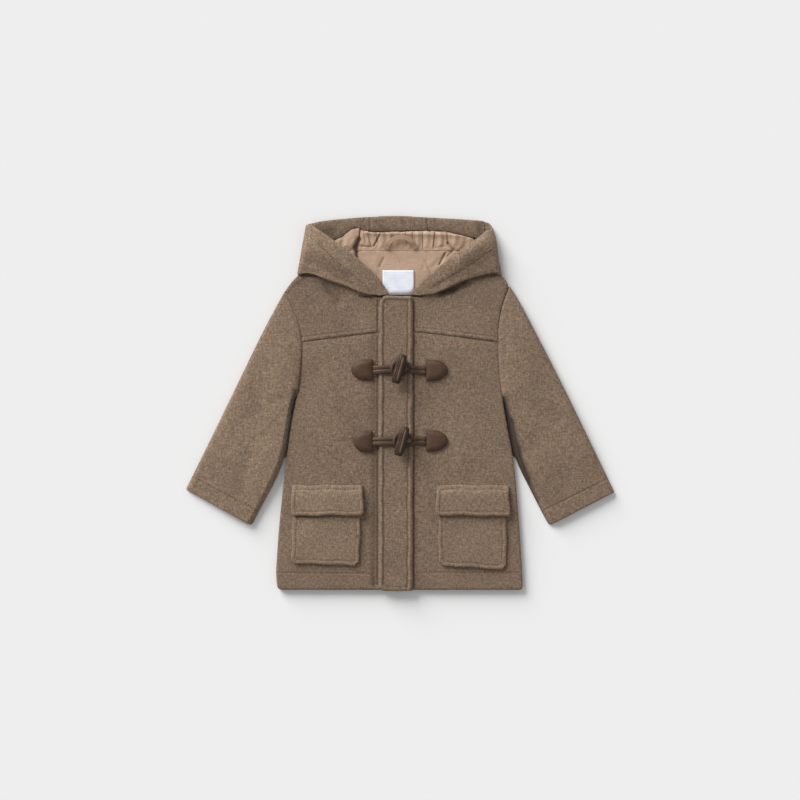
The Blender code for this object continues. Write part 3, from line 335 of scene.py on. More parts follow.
def label_ribbon(name):
    """Woven satin ribbon, bleached: cool white with fine crosswise ribs and nothing printed on it."""
    material, add, place = new_material(name, {
        "Roughness": 0.45, "Specular IOR Level": 0.4, "Sheen Weight": 0.2})
    tone = add("TexNoise", {"Vector": place, "Scale": 90.0})
    colour = add("ValToRGB", {"Fac": tone.outputs["Fac"]}, stops=(
        (0.3, linear("#DEE2EC")), (0.7, linear("#EFF1F7"))))
    # Ribs are 0.3 mm apart, and are drawn 1 mm apart so that they show
    ribs = add("TexWave", {"Vector": place, "Scale": 160.0, "Distortion": 0.4}, {"bands_direction": "Y"})
    relief = add("Bump", {"Height": ribs.outputs["Fac"], "Strength": 0.2, "Distance": 0.0002})
    return finished(material, colour.outputs["Color"], relief)


def embossed_leather(name, trim):
    """Coated imitation leather, embossed with a 1 mm pebble grain: low gloss, uneven in tone."""
    material, add, place = new_material(name, {
        "Roughness": 0.56, "Specular IOR Level": 0.26, "Coat Weight": 0.04, "Coat Roughness": 0.45})
    pebbles = add("TexVoronoi", {
        "Vector": place, "Scale": 900.0, "Smoothness": 0.6}, {"feature": "SMOOTH_F1"})
    tone = add("TexNoise", {"Vector": place, "Scale": 140.0, "Detail": 3.0})
    colour = add("Mix", {
        "Factor": tone.outputs["Fac"], A: toned(trim.leather, 0.75), B: toned(trim.leather, 1.3)}, BLEND)
    relief = add("Bump", {"Height": pebbles.outputs["Distance"], "Strength": 0.25, "Distance": 0.0003})
    return finished(material, colour.outputs[MIXED], relief)


def cut_leather(name, trim):
    """Leather lace cut from the same sheet: matt, with lengthwise creases between its strands."""
    material, add, place = new_material(name, {"Roughness": 0.6, "Specular IOR Level": 0.35})
    along = add("Mapping", {"Vector": place, "Scale": (90.0, 620.0, 90.0)})
    strands = add("TexNoise", {"Vector": along.outputs["Vector"], "Scale": 1.0})
    colour = add("Mix", {
        "Factor": strands.outputs["Fac"], A: toned(trim.leather, 0.55),
        B: toned(trim.leather, 1.25)}, BLEND)
    relief = add("Bump", {"Height": strands.outputs["Fac"], "Strength": 0.6, "Distance": 0.0006})
    return finished(material, colour.outputs[MIXED], relief)


def moulded_horn(name, trim):
    """Polyester cast as horn and tumbled: dark brown streaks along its length, semi-gloss."""
    material, add, place = new_material(name, {
        "Roughness": 0.5, "Specular IOR Level": 0.3, "Coat Weight": 0.05, "Coat Roughness": 0.35})
    turned = add("Mapping", {
        "Vector": place, "Rotation": (0.0, 0.0, TOGGLE_LEAN), "Scale": (420.0, 60.0, 420.0)})
    streaks = add("TexNoise", {
        "Vector": turned.outputs["Vector"], "Scale": 1.0, "Detail": 3.0, "Distortion": 0.4})
    colour = add("Mix", {
        "Factor": streaks.outputs["Fac"], A: toned(trim.toggle, 0.5), B: toned(trim.toggle, 1.6)}, BLEND)
    pale = add("Attribute", settings={"attribute_name": "pale_streak"})
    streaked = add("Mix", {
        "Factor": pale.outputs["Fac"], A: colour.outputs[MIXED], B: toned(linear("#8A7A66"))}, BLEND)
    relief = add("Bump", {"Height": streaks.outputs["Fac"], "Strength": 0.35, "Distance": 0.0004})
    return finished(material, streaked.outputs[MIXED], relief)


def spun_thread(name, colour):
    """Polyester sewing thread, spun and twisted: a soft lustre, and a painted highlight on top of each
    twist.
    """
    material, add, place = new_material(name, {"Roughness": 0.7, "Specular IOR Level": 0.3})
    twist = add("TexNoise", {"Vector": place, "Scale": 1400.0})
    shade = add("Mix", {
        "Factor": twist.outputs["Fac"], A: toned(colour, 0.7), B: toned(colour, 1.25)}, BLEND)
    return finished(material, shade.outputs[MIXED])


def studio_paper(name, stage):
    """Matt background paper, rolled: even and pale, with the faintest tooth."""
    material, add, place = new_material(name, {"Roughness": 0.95, "Specular IOR Level": 0.1})
    tooth = add("TexNoise", {"Vector": place, "Scale": 400.0})
    colour = add("Mix", {
        "Factor": tooth.outputs["Fac"], A: toned(stage.paper, 0.99), B: toned(stage.paper, 1.01)}, BLEND)
    return finished(material, colour.outputs[MIXED])


def shared_material(name, make, *values):
    """A material by name, made the first time it is asked for."""
    return bpy.data.materials.get(name) or make(name, *values)


def soft_step(share):
    share = np.clip(share, 0.0, 1.0)
    return share * share * (3.0 - 2.0 * share)


def folds_height(x, y, folds):
    """Height of a table's soft folds over the plain cloth."""
    height = np.zeros_like(x)
    for x0, y0, x1, y1, width, rise in folds:
        dx, dy = x1 - x0, y1 - y0
        share = np.clip(((x - x0) * dx + (y - y0) * dy) / (dx * dx + dy * dy), 0.0, 1.0)
        off = (x - x0 - share * dx)**2 + (y - y0 - share * dy)**2
        height += rise * np.exp(-off / width**2)
    return height


def swells(x, y):
    """Slow unevenness of padded cloth that lies loose."""
    return (0.28 * np.sin(x / 17.0 + 0.6 * np.sin(y / 23.0)) * np.sin(y / 21.0 + 1.3)
            + 0.16 * np.sin(x / 9.3 - y / 12.1) + 0.12 * np.sin(y / 7.9 + x / 15.7 + 2.0))


def body_height(x, y):
    return folds_height(x, y, BODY_FOLDS) + 0.6 * swells(x, y)


def line_trough(x, y, line, width=1.1, depth=0.5, pucker=0.25):
    """Depth to which a row of stitches pulls the cloth down along its line, and more at each stitch."""
    nearest = np.full_like(x, 1e9)
    along = np.zeros_like(x)
    passed = 0.0
    for (x0, y0), (x1, y1) in zip(line, line[1:]):
        dx, dy = x1 - x0, y1 - y0
        length = math.hypot(dx, dy)
        share = np.clip(((x - x0) * dx + (y - y0) * dy) / length**2, 0.0, 1.0)
        off = np.hypot(x - x0 - share * dx, y - y0 - share * dy)
        closer = off < nearest
        nearest = np.where(closer, off, nearest)
        along = np.where(closer, passed + share * length, along)
        passed += length
    wave = np.cos(2.0 * math.pi * along / STITCH_PITCH)
    pull = pucker * wave * np.exp(-(nearest / (2.4 * width))**2)
    return -depth * np.exp(-(nearest / width)**2) + pull


def rounded(corners, radius, closed=False):
    """A line through corners, each rounded off with a few points."""
    count = len(corners)
    points = []
    for k, corner in enumerate(corners):
        if not closed and k in (0, count - 1):
            points.append(corner)
            continue
        here = Vector(corner)
        before, after = Vector(corners[k - 1]), Vector(corners[(k + 1) % count])
        start = here + (before - here).normalized() * radius
        end = here + (after - here).normalized() * radius
        for step in range(5):
            t = step / 4.0
            bend = (1 - t)**2 * start + 2 * t * (1 - t) * here + t * t * end
            points.append(tuple(bend))
    return points + points[:1] if closed else points


def inset_corners(table, top_y, inset, side):
    """A pocket's corners, drawn in by an inset: inner top, inner foot, outer foot, outer top."""
    inner_top, outer_top, inner_foot, outer_foot, inner_y, outer_y = table
    return [(side * (inner_top + inset), top_y - inset), (side * (inner_foot + inset), inner_y + inset),
            (side * (outer_foot - inset), outer_y + inset), (side * (outer_top - inset), top_y - inset)]


def yoke_seam_y(x):
    return YOKE_SEAM_Y - YOKE_SEAM_FALL * max(abs(x) - YOKE_SEAM_START, 0.0)


def by_yoke_seam(x, y):
    """Whether a place is at the yoke's seam or on the shoulder."""
    return abs(y - yoke_seam_y(x)) < 4.0 or (y > 158.0 and abs(x) > 90.0)


def by_lining_seam(x, y):
    return 192.0 < y < 201.0


def sewing_lines():
    """Every row of stitches on the wool, by the piece that it is sewn on."""
    low_x, low_y, high_x, high_y = PLACKET_BOX
    inset = STITCH_INSET
    left, right, turn = low_x + STRIP_ROW_LEFT, high_x - STRIP_ROW_RIGHT, low_y + 14.0
    rows = {"placket": [
        rounded([(left, turn), (left, high_y - inset), (right, high_y - inset)], 7.0),
        [(right, high_y - inset), (right, low_y + 3.5)],
        rounded([(left, turn), (left + 1.2, low_y + inset), (right, low_y + inset)], 4.0)]}
    for word, side in SIDES:
        flap = inset_corners(FLAP[word], FLAP_TOP_Y, inset, side)
        rows["flap_" + word] = [rounded(flap, 2.0, closed=True)]
        pocket = inset_corners(POCKET[word], POCKET_TOP_Y, inset, side)
        pocket[0] = (pocket[0][0], POCKET_UNDER_FLAP_Y)
        pocket[3] = (pocket[3][0], POCKET_UNDER_FLAP_Y)
        rows["pocket_" + word] = [rounded(pocket, 6.0)]
        start, end = (-30.0 if side == RIGHT else 21.5), side * 131.0
        places = [start + (end - start) * k / 6 for k in range(7)]
        rows["yoke_" + word] = [[(x, yoke_seam_y(x) + inset) for x in places]]
        hem = [(22.5, HEM_STITCH_Y), (156.0, HEM_STITCH_Y)]
        if side == RIGHT:  # here the hem's row turns down beside the strip
            hem = rounded([(-33.0, HEM_STITCH_Y - 18.0), (-33.5, HEM_STITCH_Y - 1.0),
                           (-156.0, HEM_STITCH_Y)], 9.0)
        rows["front_" + word] = [hem]
        rows["sleeve_" + word] = [CUFF_LINES[word]]
        rows["hood_side_" + word] = [HOOD_LINES[word]]
    rows["yoke_right"].append([(-146.0, 140.6), (-124.8, 160.2)])
    rows["hood_facing"] = [[(-45.3, 221.0), (-46.3, 242.0)], [(-38.3, 221.0), (-39.1, 242.0)],
                           [(35.4, 221.0), (34.9, 242.0)]]
    return rows


def fine_copy(node, levels, cuts=(), crisp=0.0, along=None):
    """A fine copy of a CAD node's mesh: merged, its squares joined again, cut and smoothed.
    crisp keeps its edges, or only those whose middle's x and y pass the test along."""
    bpy.ops.object.select_all(action="DESELECT")
    piece = bpy.data.objects.new(node + "_piece", NODES[node].data.copy())
    bpy.context.scene.collection.objects.link(piece)
    piece.data.materials.clear()
    bpy.context.view_layer.objects.active = piece
    piece.select_set(True)
    if piece.data.has_custom_normals:
        bpy.ops.mesh.customdata_custom_splitnormals_clear()
    bpy.ops.object.mode_set(mode="EDIT")
    bpy.ops.mesh.select_all(action="SELECT")
    bpy.ops.mesh.remove_doubles(threshold=0.00001)
    bpy.ops.mesh.mark_sharp(clear=True)
    bpy.ops.mesh.tris_convert_to_quads(
        face_threshold=math.radians(50.0), shape_threshold=math.radians(120.0))
    for (x, y), normal in cuts:
        bpy.ops.mesh.select_all(action="SELECT")
        bpy.ops.mesh.bisect(plane_co=((x + SHIFT.x) * MM, (y + SHIFT.y) * MM, 0.0),
                            plane_no=(normal[0], normal[1], 0.0), threshold=0.00001)
    if crisp:
        bpy.ops.mesh.select_mode(type="EDGE")
        bpy.ops.mesh.select_all(action="DESELECT")
        bpy.ops.mesh.edges_select_sharp(sharpness=math.radians(50.0))
        if along:
            shell = bmesh.from_edit_mesh(piece.data)
            for edge in [edge for edge in shell.edges if edge.select]:
                middle = (edge.verts[0].co + edge.verts[1].co) / (2.0 * MM)
                edge.select_set(along(middle.x - SHIFT.x, middle.y - SHIFT.y))
            bmesh.update_edit_mesh(piece.data)
        bpy.ops.transform.edge_crease(value=crisp)
    bpy.ops.object.mode_set(mode="OBJECT")
    soften = piece.modifiers.new("soften", "SUBSURF")
    soften.levels = soften.render_levels = levels
    bpy.ops.object.modifier_apply(modifier="soften")
    bpy.ops.object.shade_smooth()
    return piece


def line_cuts(line):
    """Planes along a straight row of stitches and beside it, so that the cloth there is fine enough."""
    (x0, y0), (x1, y1) = line[0], line[-1]
    length = math.hypot(x1 - x0, y1 - y0)
    normal = (-(y1 - y0) / length, (x1 - x0) / length)
    return [((x0 + normal[0] * off, y0 + normal[1] * off), normal) for off in (-1.6, 0.0, 1.6)]


def points_of(piece):
    """x, y and z of a piece's points, in the tables' millimetres."""
    places = np.empty(len(piece.data.vertices) * 3, np.float32)
    piece.data.vertices.foreach_get("co", places)
    x, y, z = places.reshape(-1, 3).T.astype(np.float64) / MM
    return x - SHIFT.x, y - SHIFT.y, z


def reshape(piece, move, pressed=None):
    """Moves a piece's points. move gets x, y, z and the normal's z, and gives the new z.
    The third function gets the same, and gives the painted shade in creases and seams, from 0 to 1, which
    darkens the colour."""
    places = np.empty(len(piece.data.vertices) * 3, np.float32)
    normals = np.empty_like(places)
    piece.data.vertices.foreach_get("co", places)
    piece.data.vertices.foreach_get("normal", normals)
    x, y, z = points_of(piece)
    up = normals[2::3]
    places[2::3] = move(x, y, z, up) * MM
    piece.data.vertices.foreach_set("co", places)
    # Painted shade, kept on each point, by which the material darkens the colour
    if pressed:
        share = piece.data.attributes.new("pressed", "FLOAT", "POINT")
        share.data.foreach_set("value", pressed(x, y, z, up).astype(np.float32))
    piece.data.update()


def close_gap(piece, neighbours, reach, left=0.15):
    """Draws a piece's rim sideways to its neighbours along a seam, so that no floor shows. reach gets
    the points' x, y and z, and gives how wide a gap is closed there. left is the gap that stays."""
    trees = []
    low_x, high_x = 1e9, -1e9
    for name in neighbours:
        mesh = bpy.data.objects[name + "_piece"].data
        points = [vert.co for vert in mesh.vertices]
        trees.append(BVHTree.FromPolygons(points, [face.vertices for face in mesh.polygons]))
        low_x = min(low_x, min(co.x for co in points))
        high_x = max(high_x, max(co.x for co in points))
    x, y, z = points_of(piece)
    widths = reach(x, y, z) * np.ones_like(x) * MM
    x = (x + SHIFT.x) * MM
    for index in np.nonzero((x > low_x - widths) & (x < high_x + widths))[0]:
        vert = piece.data.vertices[index]
        if abs(vert.normal.z) > 0.93:  # flat upper and lower sides stay
            continue
        widest = widths[index]
        best, span = None, widest
        for tree in trees:
            where = tree.find_nearest(vert.co, span)[0]
            if where is not None:
                gap = (where - vert.co).xy
                if gap.length < span and gap.dot(vert.normal.xy) > 0.0:
                    best, span = gap, gap.length
        if best is None or span <= left * MM:
            continue
        fade = min(1.0, (widest - span) / (0.3 * widest))
        drawn = best * ((1.0 - left * MM / span) * fade)
        vert.co.x += drawn.x
        vert.co.y += drawn.y
    piece.data.update()


def dress(piece, node, material=None):
    """Gives a piece its finish, which is wool unless it is named, and puts it in the CAD node's place."""
    piece.data.materials.append(material or wool())
    # Painted light: each piece's own factor from the table makes its colour lighter, and darker below
    # zero
    if node in PAINTED_LIGHT_BY_PIECE:
        pile_and_painted_light = piece.data.attributes.new("pile_and_painted_light", "FLOAT", "POINT")
        pile_and_painted_light.data.foreach_set("value", np.full(len(piece.data.vertices), PAINTED_LIGHT_BY_PIECE[node], np.float32))
    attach(piece, "root")
    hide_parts(node)


def top_share(up):
    """1 on a piece's upper side, 0 below and on its rim."""
    return soft_step((up - 0.15) / 0.6)


def sewn(x, y, rows):
    return sum((line_trough(x, y, row) for row in rows), np.zeros_like(x))


def round_corner(piece, corner, inward, radius):
    """Draws in what lies outside a quarter circle at an outer corner."""
    centre = (Vector(corner) + radius * Vector(inward) + SHIFT) * MM
    for vert in piece.data.vertices:
        off = vert.co.xy - centre
        if off.x * inward[0] < 0.0 and off.y * inward[1] < 0.0:
            square = max(abs(off.x), abs(off.y))
            if square > 0.0:
                drawn = off * (square / off.length)
                vert.co.x, vert.co.y = centre.x + drawn.x, centre.y + drawn.y
    piece.data.update()


def loosen(piece, amount):
    """Makes a sewn-on piece's straight edges waver a little."""
    for vert in piece.data.vertices:
        x, y = vert.co.x / MM, vert.co.y / MM
        vert.co.x += amount * MM * (math.sin(y / 6.1 + 0.04 * x) + 0.6 * math.sin(y / 14.7 + 1.0))
        vert.co.y += amount * MM * (math.sin(x / 6.7 + 0.03 * y) + 0.6 * math.sin(x / 13.1 + 2.0))
    piece.data.update()


def shape_wool(piece, rise, rows=(), creases=(), lift=None, above=-50.0):
    """Puts folds, sewn rows and creases on a piece's upper side, where it is higher than above.
    lift raises all of the piece, on what it lies on."""

    def top(z, up):
        return top_share(up) * soft_step((z - above) / 2.5)

    def move(x, y, z, up):
        carried = lift(x, y) * soft_step(z / 8.0) if lift else 0.0
        own = rise(x, y) + sewn(x, y, rows) + folds_height(x, y, creases)
        return z + carried + top(z, up) * np.maximum(own, DEEPEST)

    # Painted shade in the sewn rows and creases, darkest where they are deepest
    def pressed(x, y, z, up):
        narrow = sum((line_trough(x, y, row, 0.9, 0.3, 0.0) for row in rows), np.zeros_like(x))
        depth = -(narrow + folds_height(x, y, creases))
        return np.clip(depth / DARK_AT, 0.0, DARKEST) * soft_step((up + 0.5) / 0.7)

    reshape(piece, move, pressed)


def colour_setting(name, description, default):
    """A colour that a user can change, with its sRGB hex value."""
    return bpy.props.FloatVectorProperty(
        name=name, description=description, subtype="COLOR", min=0.0, max=1.0, default=linear(default))


class DuffleCloth(bpy.types.PropertyGroup):
    wool_dark: colour_setting("Dark fibres", "Darkest tufts of the wool", "#5E4D3F")
    wool_middle: colour_setting("Middle fibres", "Main tone of the wool", "#796655")
    wool_light: colour_setting("Light fibres", "Lightest tufts of the wool", "#917E6C")
    lining: colour_setting("Lining", "Lining of the hood and neck", "#B4977F")
    fibre_size: bpy.props.FloatProperty(
        name="Tuft size", description="Size of one tuft of fibres", unit="LENGTH", subtype="DISTANCE",
        min=0.0005, max=0.01, default=0.0016)
    fold_strength: bpy.props.FloatProperty(
        name="Folds", description="How deep the soft folds are", min=0.0, max=2.0, default=1.0)


class DuffleTrim(bpy.types.PropertyGroup):
    leather: colour_setting("Leather", "Patches and laces", "#4C3729")
    toggle: colour_setting("Toggle", "Barrels of the toggles", "#3A281B")
    thread: colour_setting("Thread", "Topstitching on the wool", "#8B7863")
    stitch_length: bpy.props.FloatProperty(
        name="Stitch length", description="Length of one stitch that shows", unit="LENGTH",
        subtype="DISTANCE", min=0.001, max=0.01, default=0.0022)
    thread_thickness: bpy.props.FloatProperty(
        name="Thread thickness", description="Thickness of the topstitching", unit="LENGTH",
        subtype="DISTANCE", min=0.0002, max=0.002, default=0.0006)


class DuffleStage(bpy.types.PropertyGroup):
    paper: colour_setting("Paper", "Colour of the floor", "#EDEDED")
    view_width: bpy.props.FloatProperty(
        name="View width", description="Width of the floor that the camera sees", unit="LENGTH",
        subtype="DISTANCE", min=0.3, max=3.0, default=1.04)
    camera_height: bpy.props.FloatProperty(
        name="Camera height", description="Height of the camera over the floor", unit="LENGTH",
        subtype="DISTANCE", min=1.0, max=10.0, default=3.0)
    key_strength: bpy.props.FloatProperty(
        name="Key light", description="Strength of the broad soft light at the upper left",
        min=0.0, max=20.0, default=4.1)
    key_height: bpy.props.FloatProperty(
        name="Key height", description="How high the key light stands over the floor", unit="ROTATION",
        subtype="ANGLE", min=0.1, max=1.5, default=math.radians(25.0))
    key_spread: bpy.props.FloatProperty(
        name="Key spread", description="How broad the key light looks from the floor", unit="ROTATION",
        subtype="ANGLE", min=0.0, max=3.0, default=math.radians(39.0))
    fill: bpy.props.FloatProperty(
        name="Fill", description="Even light from all round", min=0.0, max=3.0, default=0.46)


def cloth_values():
    return bpy.context.scene.duffle_cloth


def trim_values():
    return bpy.context.scene.duffle_trim


def wool():
    return shared_material("boiled_wool_melange", boiled_wool, cloth_values())


class DUFFLE_OT_body(bpy.types.Operator):
    """Back, fronts and yokes, with their soft folds and sewn rows"""
    bl_idname = "duffle.body"
    bl_label = "Body"

    def execute(self, context):
        strength = cloth_values().fold_strength
        rows = sewing_lines()
        dress(fine_copy("back", 2, crisp=0.85), "back")

        def rise(x, y):
            return strength * (body_height(x, y) + folds_height(x, y, FRONT_FOLDS))

        hem_cuts = [((0.0, HEM_STITCH_Y + off), (0.0, 1.0)) for off in HEM_CUTS]
        for word, _ in SIDES:
            strip_cuts = [((x, 0.0), (1.0, 0.0)) for x in STRIP_CUTS[word]]
            front = fine_copy("front_" + word, 3, hem_cuts + strip_cuts, 1.0, by_yoke_seam)
            shape_wool(front, rise, rows["front_" + word], CREASES["front_" + word])
            dress(front, "front_" + word)
            yoke = fine_copy("yoke_" + word, 3, strip_cuts, 1.0, by_yoke_seam)
            shape_wool(yoke, rise, rows["yoke_" + word], CREASES["yoke_" + word])
            close_gap(yoke, ("front_" + word,), lambda x, y, z: 2.0, 0.05)
            dress(yoke, "yoke_" + word)
        return {"FINISHED"}


class DUFFLE_OT_sleeves(bpy.types.Operator):
    """Sleeves with long soft folds and a sewn cuff"""
    bl_idname = "duffle.sleeves"
    bl_label = "Sleeves"

    def execute(self, context):
        strength = cloth_values().fold_strength
        rows = sewing_lines()

        def reach(x, y, z):
            return 1.7 + 7.5 * soft_step((5.0 - z) / 1.5) * soft_step((y + 84.0) / 34.0)

        for word, _ in SIDES:
            node = "sleeve_" + word
            piece = fine_copy(node, 3, line_cuts(rows[node][0]))

            def rise(x, y, folds=SLEEVE_FOLDS[word]):
                return strength * (folds_height(x, y, folds) + 0.5 * swells(x, y))

            def lift(x, y, slope=SLEEVE_SLOPES[word]):
                across = abs(x) + SLEEVE_LEAN * y - SLEEVE_MIDDLE
                down = 0.44 * abs(x) - 0.9 * y
                fall = CUFF_FALL * soft_step((down - CUFF_FALL_FROM) / CUFF_FALL_OVER)
                return slope * np.clip(across, -SLEEVE_HALF, SLEEVE_HALF) - fall

            shape_wool(piece, rise, rows[node], CREASES[node], lift, 7.0)
            close_gap(piece, ("back", "front_" + word, "yoke_" + word), reach)
            dress(piece, node)
        return {"FINISHED"}


class DUFFLE_OT_hood(bpy.types.Operator):
    """Hood sides, middle strip and wool facing"""
    bl_idname = "duffle.hood"
    bl_label = "Hood"

    def execute(self, context):
        strength = cloth_values().fold_strength
        rows = sewing_lines()

        def outer_corner(x, y, z):
            return np.where(np.abs(x) > 112.0, 4.0, 0.0)

        def facing_end(x, y, z):
            return np.where((x < 124.0) & (y > 212.0), 4.0, 0.0)

        def thin_end(x, y, z, up):
            low, thinning_from, thinned_over = 3.75, 98.0, 11.0
            return z - 0.85 * soft_step((x - thinning_from) / thinned_over) * np.clip(z - low, 0.0, None)

        dress(fine_copy("hood_centre", 3), "hood_centre")
        for word, _ in SIDES:
            node = "hood_side_" + word
            piece = fine_copy(node, 3, line_cuts(rows[node][0]))

            def rise(x, y, folds=HOOD_FOLDS[word]):
                return strength * (folds_height(x, y, folds) + 0.8 * swells(x, y))

            shape_wool(piece, rise, rows[node], CREASES.get(node, ()), above=8.0)
            close_gap(piece, ("hood_centre",), lambda x, y, z: 2.0)
            close_gap(piece, ("yoke_" + word, "back"), outer_corner, 0.05)
            dress(piece, node)
        facing = fine_copy("hood_facing", 3, (), 0.9, lambda x, y: abs(x) > 96.0)
        reshape(facing, thin_end)
        shape_wool(facing, lambda x, y: 0.5 * swells(x, y) + folds_height(x, y, FACING_FOLDS),
                   rows["hood_facing"], CREASES["hood_facing"])
        close_gap(facing, ("hood_side_right", "hood_side_left"), lambda x, y, z: 8.5)
        close_gap(bpy.data.objects["hood_side_left_piece"], ("hood_facing",), facing_end, 0.0)
        dress(facing, "hood_facing")
        return {"FINISHED"}


class DUFFLE_OT_linings(bpy.types.Operator):
    """Gathered lining, neck lining, hanging loop and blank label"""
    bl_idname = "duffle.linings"
    bl_label = "Linings"

    def execute(self, context):
        lining = cloth_values().lining
        satin = shared_material("satin_lining", lining_cloth, lining, 0.0016, 0.5)

        # Painted shade in the lining's creases, from their depth
        def painted_shade_in(node):
            def share(x, y, z, up):
                depth = -folds_height(x, y, CREASES[node])
                return np.clip(depth / LINING_DARK_AT, 0.0, 1.0) * top_share(up)
            return share

        gathered = fine_copy("hood_lining", 3, (), 0.9, by_lining_seam)

        def pleat(x, y, z, up):
            flat = LINING_LEVEL + 0.6 * (z - LINING_LEVEL)
            fine = 0.25 * np.sin(x / 1.5 + 3.0 * np.sin(y / 9.0)) * soft_step((y - 197.0) / 6.0)
            pleated = flat + 0.7 * folds_height(x, y, LINING_FOLDS + CREASES["hood_lining"]) + fine
            return np.where(up > 0.1, np.maximum(pleated, LINING_LOWEST), z)

        reshape(gathered, pleat, painted_shade_in("hood_lining"))
        close_gap(gathered, ("hood_facing",), lambda x, y, z: 2.6)
        dress(gathered, "hood_lining", satin)
        neck = fine_copy("neck_lining", 3, (), 0.9, by_lining_seam)

        def crease(x, y, z, up):
            pulled = -0.2 * np.exp(-((y - 196.4) / 1.4)**2)
            fine = 0.12 * np.sin(x / 2.3 + 2.0 * np.sin(y / 6.0)) * soft_step((y - 182.0) / 10.0)
            folded = 0.7 * folds_height(x, y, NECK_FOLDS + CREASES["neck_lining"])
            return z + top_share(up) * np.clip(folded + pulled + fine + 0.3 * swells(x, y), -1.8, 0.5)

        reshape(neck, crease, painted_shade_in("neck_lining"))
        close_gap(neck, ("hood_lining",), lambda x, y, z: 2.2, 0.05)
        dress(neck, "neck_lining", satin)
        loop = fine_copy("hang_loop", 3, crisp=0.7)
        # Painted shade: the loop's tape is the lining's own cloth, painted darker
        tape = shared_material("folded_lining_tape", lining_cloth, toned(lining, 0.84)[:3], 0.0006, 0.55)
        dress(loop, "hang_loop", tape)
        label = fine_copy("neck_label", 2, crisp=1.0)
        dress(label, "neck_label", shared_material("woven_satin_ribbon", label_ribbon))
        return {"FINISHED"}


class DUFFLE_OT_fly_strip(bpy.types.Operator):
    """Fly strip down the front, with its rolled and stitched edges"""
    bl_idname = "duffle.fly_strip"
    bl_label = "Fly strip"

    def execute(self, context):
        strength = cloth_values().fold_strength
        low_x, low_y, high_x, high_y = PLACKET_BOX
        from_left, from_right = INNER_STRIP_CUTS
        places = [low_x + off for off in from_left] + [high_x - off for off in from_right]
        piece = fine_copy("placket", 3, [((x, 0.0), (1.0, 0.0)) for x in places])

        def rise(x, y):
            return 0.4 * swells(x, 1.7 * y) + folds_height(x, y, STRIP_ROLLS)

        shape_wool(piece, rise, sewing_lines()["placket"], STRIP_CREASES,
                   lift=lambda x, y: strength * body_height(x, y))
        round_corner(piece, (low_x, high_y), (1.0, -1.0), 10.0)
        round_corner(piece, (low_x, low_y), (1.0, 1.0), 7.0)
        loosen(piece, 0.35)
        dress(piece, "placket")
        return {"FINISHED"}


class DUFFLE_OT_pockets(bpy.types.Operator):
    """Patch pockets and their flaps"""
    bl_idname = "duffle.pockets"
    bl_label = "Pockets"

    def execute(self, context):
        strength = cloth_values().fold_strength
        rows = sewing_lines()
        for word, side in SIDES:
            for kind, table in (("pocket_", POCKET), ("flap_", FLAP)):
                piece = fine_copy(kind + word, 3)
                shape_wool(piece, lambda x, y: 0.35 * swells(1.3 * x, 1.3 * y), rows[kind + word],
                           CREASES.get(kind + word, ()), lift=lambda x, y: strength * body_height(x, y))
                inner, outer, inner_y, outer_y = table[word][2:]
                inner_radius, outer_radius = FOOT_CORNERS[kind + word]
                round_corner(piece, (side * inner, inner_y), (side, 1.0), inner_radius)
                round_corner(piece, (side * outer, outer_y), (-side, 1.0), outer_radius)
                loosen(piece, 0.5)
                dress(piece, kind + word)
        return {"FINISHED"}


def pillow(across, up, length):
    """Height of a D-shaped patch's padded middle over its rim."""
    past = np.clip(across - PATCH_STRAIGHT, 0.0, None) / (length - PATCH_STRAIGHT)
    from_curve = (1.0 - np.hypot(past, up / PATCH_HALF_HEIGHT)) * PATCH_HALF_HEIGHT
    inside = np.clip(np.minimum(across, from_curve) / PATCH_RIM, 0.0, 1.0)
    return PATCH_DOME * (1.0 - (1.0 - inside)**2)


def thicken(piece, by):
    """Swells a piece sideways, so that it keeps its width when it is smoothed."""
    for vert in piece.data.vertices:
        vert.co.x += vert.normal.x * by * MM
        vert.co.y += vert.normal.y * by * MM
    piece.data.update()


class DUFFLE_OT_fastenings(bpy.types.Operator):
    """Leather patches, laces and toggles"""
    bl_idname = "duffle.fastenings"
    bl_label = "Fastenings"

    def execute(self, context):
        trim = trim_values()
        strength = cloth_values().fold_strength
        leather = shared_material("pressed_imitation_leather", embossed_leather, trim)
        lace = shared_material("cut_leather_lace", cut_leather, trim)
        horn = shared_material("cast_polyester_horn", moulded_horn, trim)

        def carried(x, y, z, up):
            return z + strength * body_height(x, y)

        for place, (inner, outer, centre_y) in PATCHES.items():
            patch = fine_copy("patch_" + place, 3, crisp=0.4)

            def domed(x, y, z, up):
                across, length = np.abs(x) - abs(inner), abs(outer) - abs(inner)
                return carried(x, y, z, up) + soft_step(up / 0.3) * pillow(across, y - centre_y, length)

            reshape(patch, domed)
            dress(patch, "patch_" + place, leather)
            cord = fine_copy("cord_" + place, 1, crisp=0.8)
            reshape(cord, carried)
            thicken(cord, 0.7)
            dress(cord, "cord_" + place, lace)
        for which, (centre_x, centre_y) in TOGGLES.items():
            toggle = fine_copy("toggle_" + which, 2, crisp=0.8)
            x, y, _ = points_of(toggle)
            dx, dy = x - centre_x, y - centre_y
            across = dx * math.cos(TOGGLE_LEAN) - dy * math.sin(TOGGLE_LEAN)
            along = dx * math.sin(TOGGLE_LEAN) + dy * math.cos(TOGGLE_LEAN)
            streak = np.exp(-((across - TOGGLE_STREAK) / TOGGLE_LINE)**2)
            streak *= soft_step((15.5 - np.abs(along)) / 2.0)
            groove = sum(np.exp(-((across - place) / TOGGLE_LINE)**2) for place in TOGGLE_GROOVES)
            groove *= soft_step((17.0 - np.abs(along)) / 2.0)

            def move(x, y, z, up, lift=0.3 * streak - 0.6 * groove):
                return z + strength * body_height(x, y) + top_share(up) * lift

            reshape(toggle, move)
            thicken(toggle, 1.4)
            pale = toggle.data.attributes.new("pale_streak", "FLOAT", "POINT")
            pale.data.foreach_set("value", (0.35 * streak).astype(np.float32))
            dress(toggle, "toggle_" + which, horn)
        return {"FINISHED"}


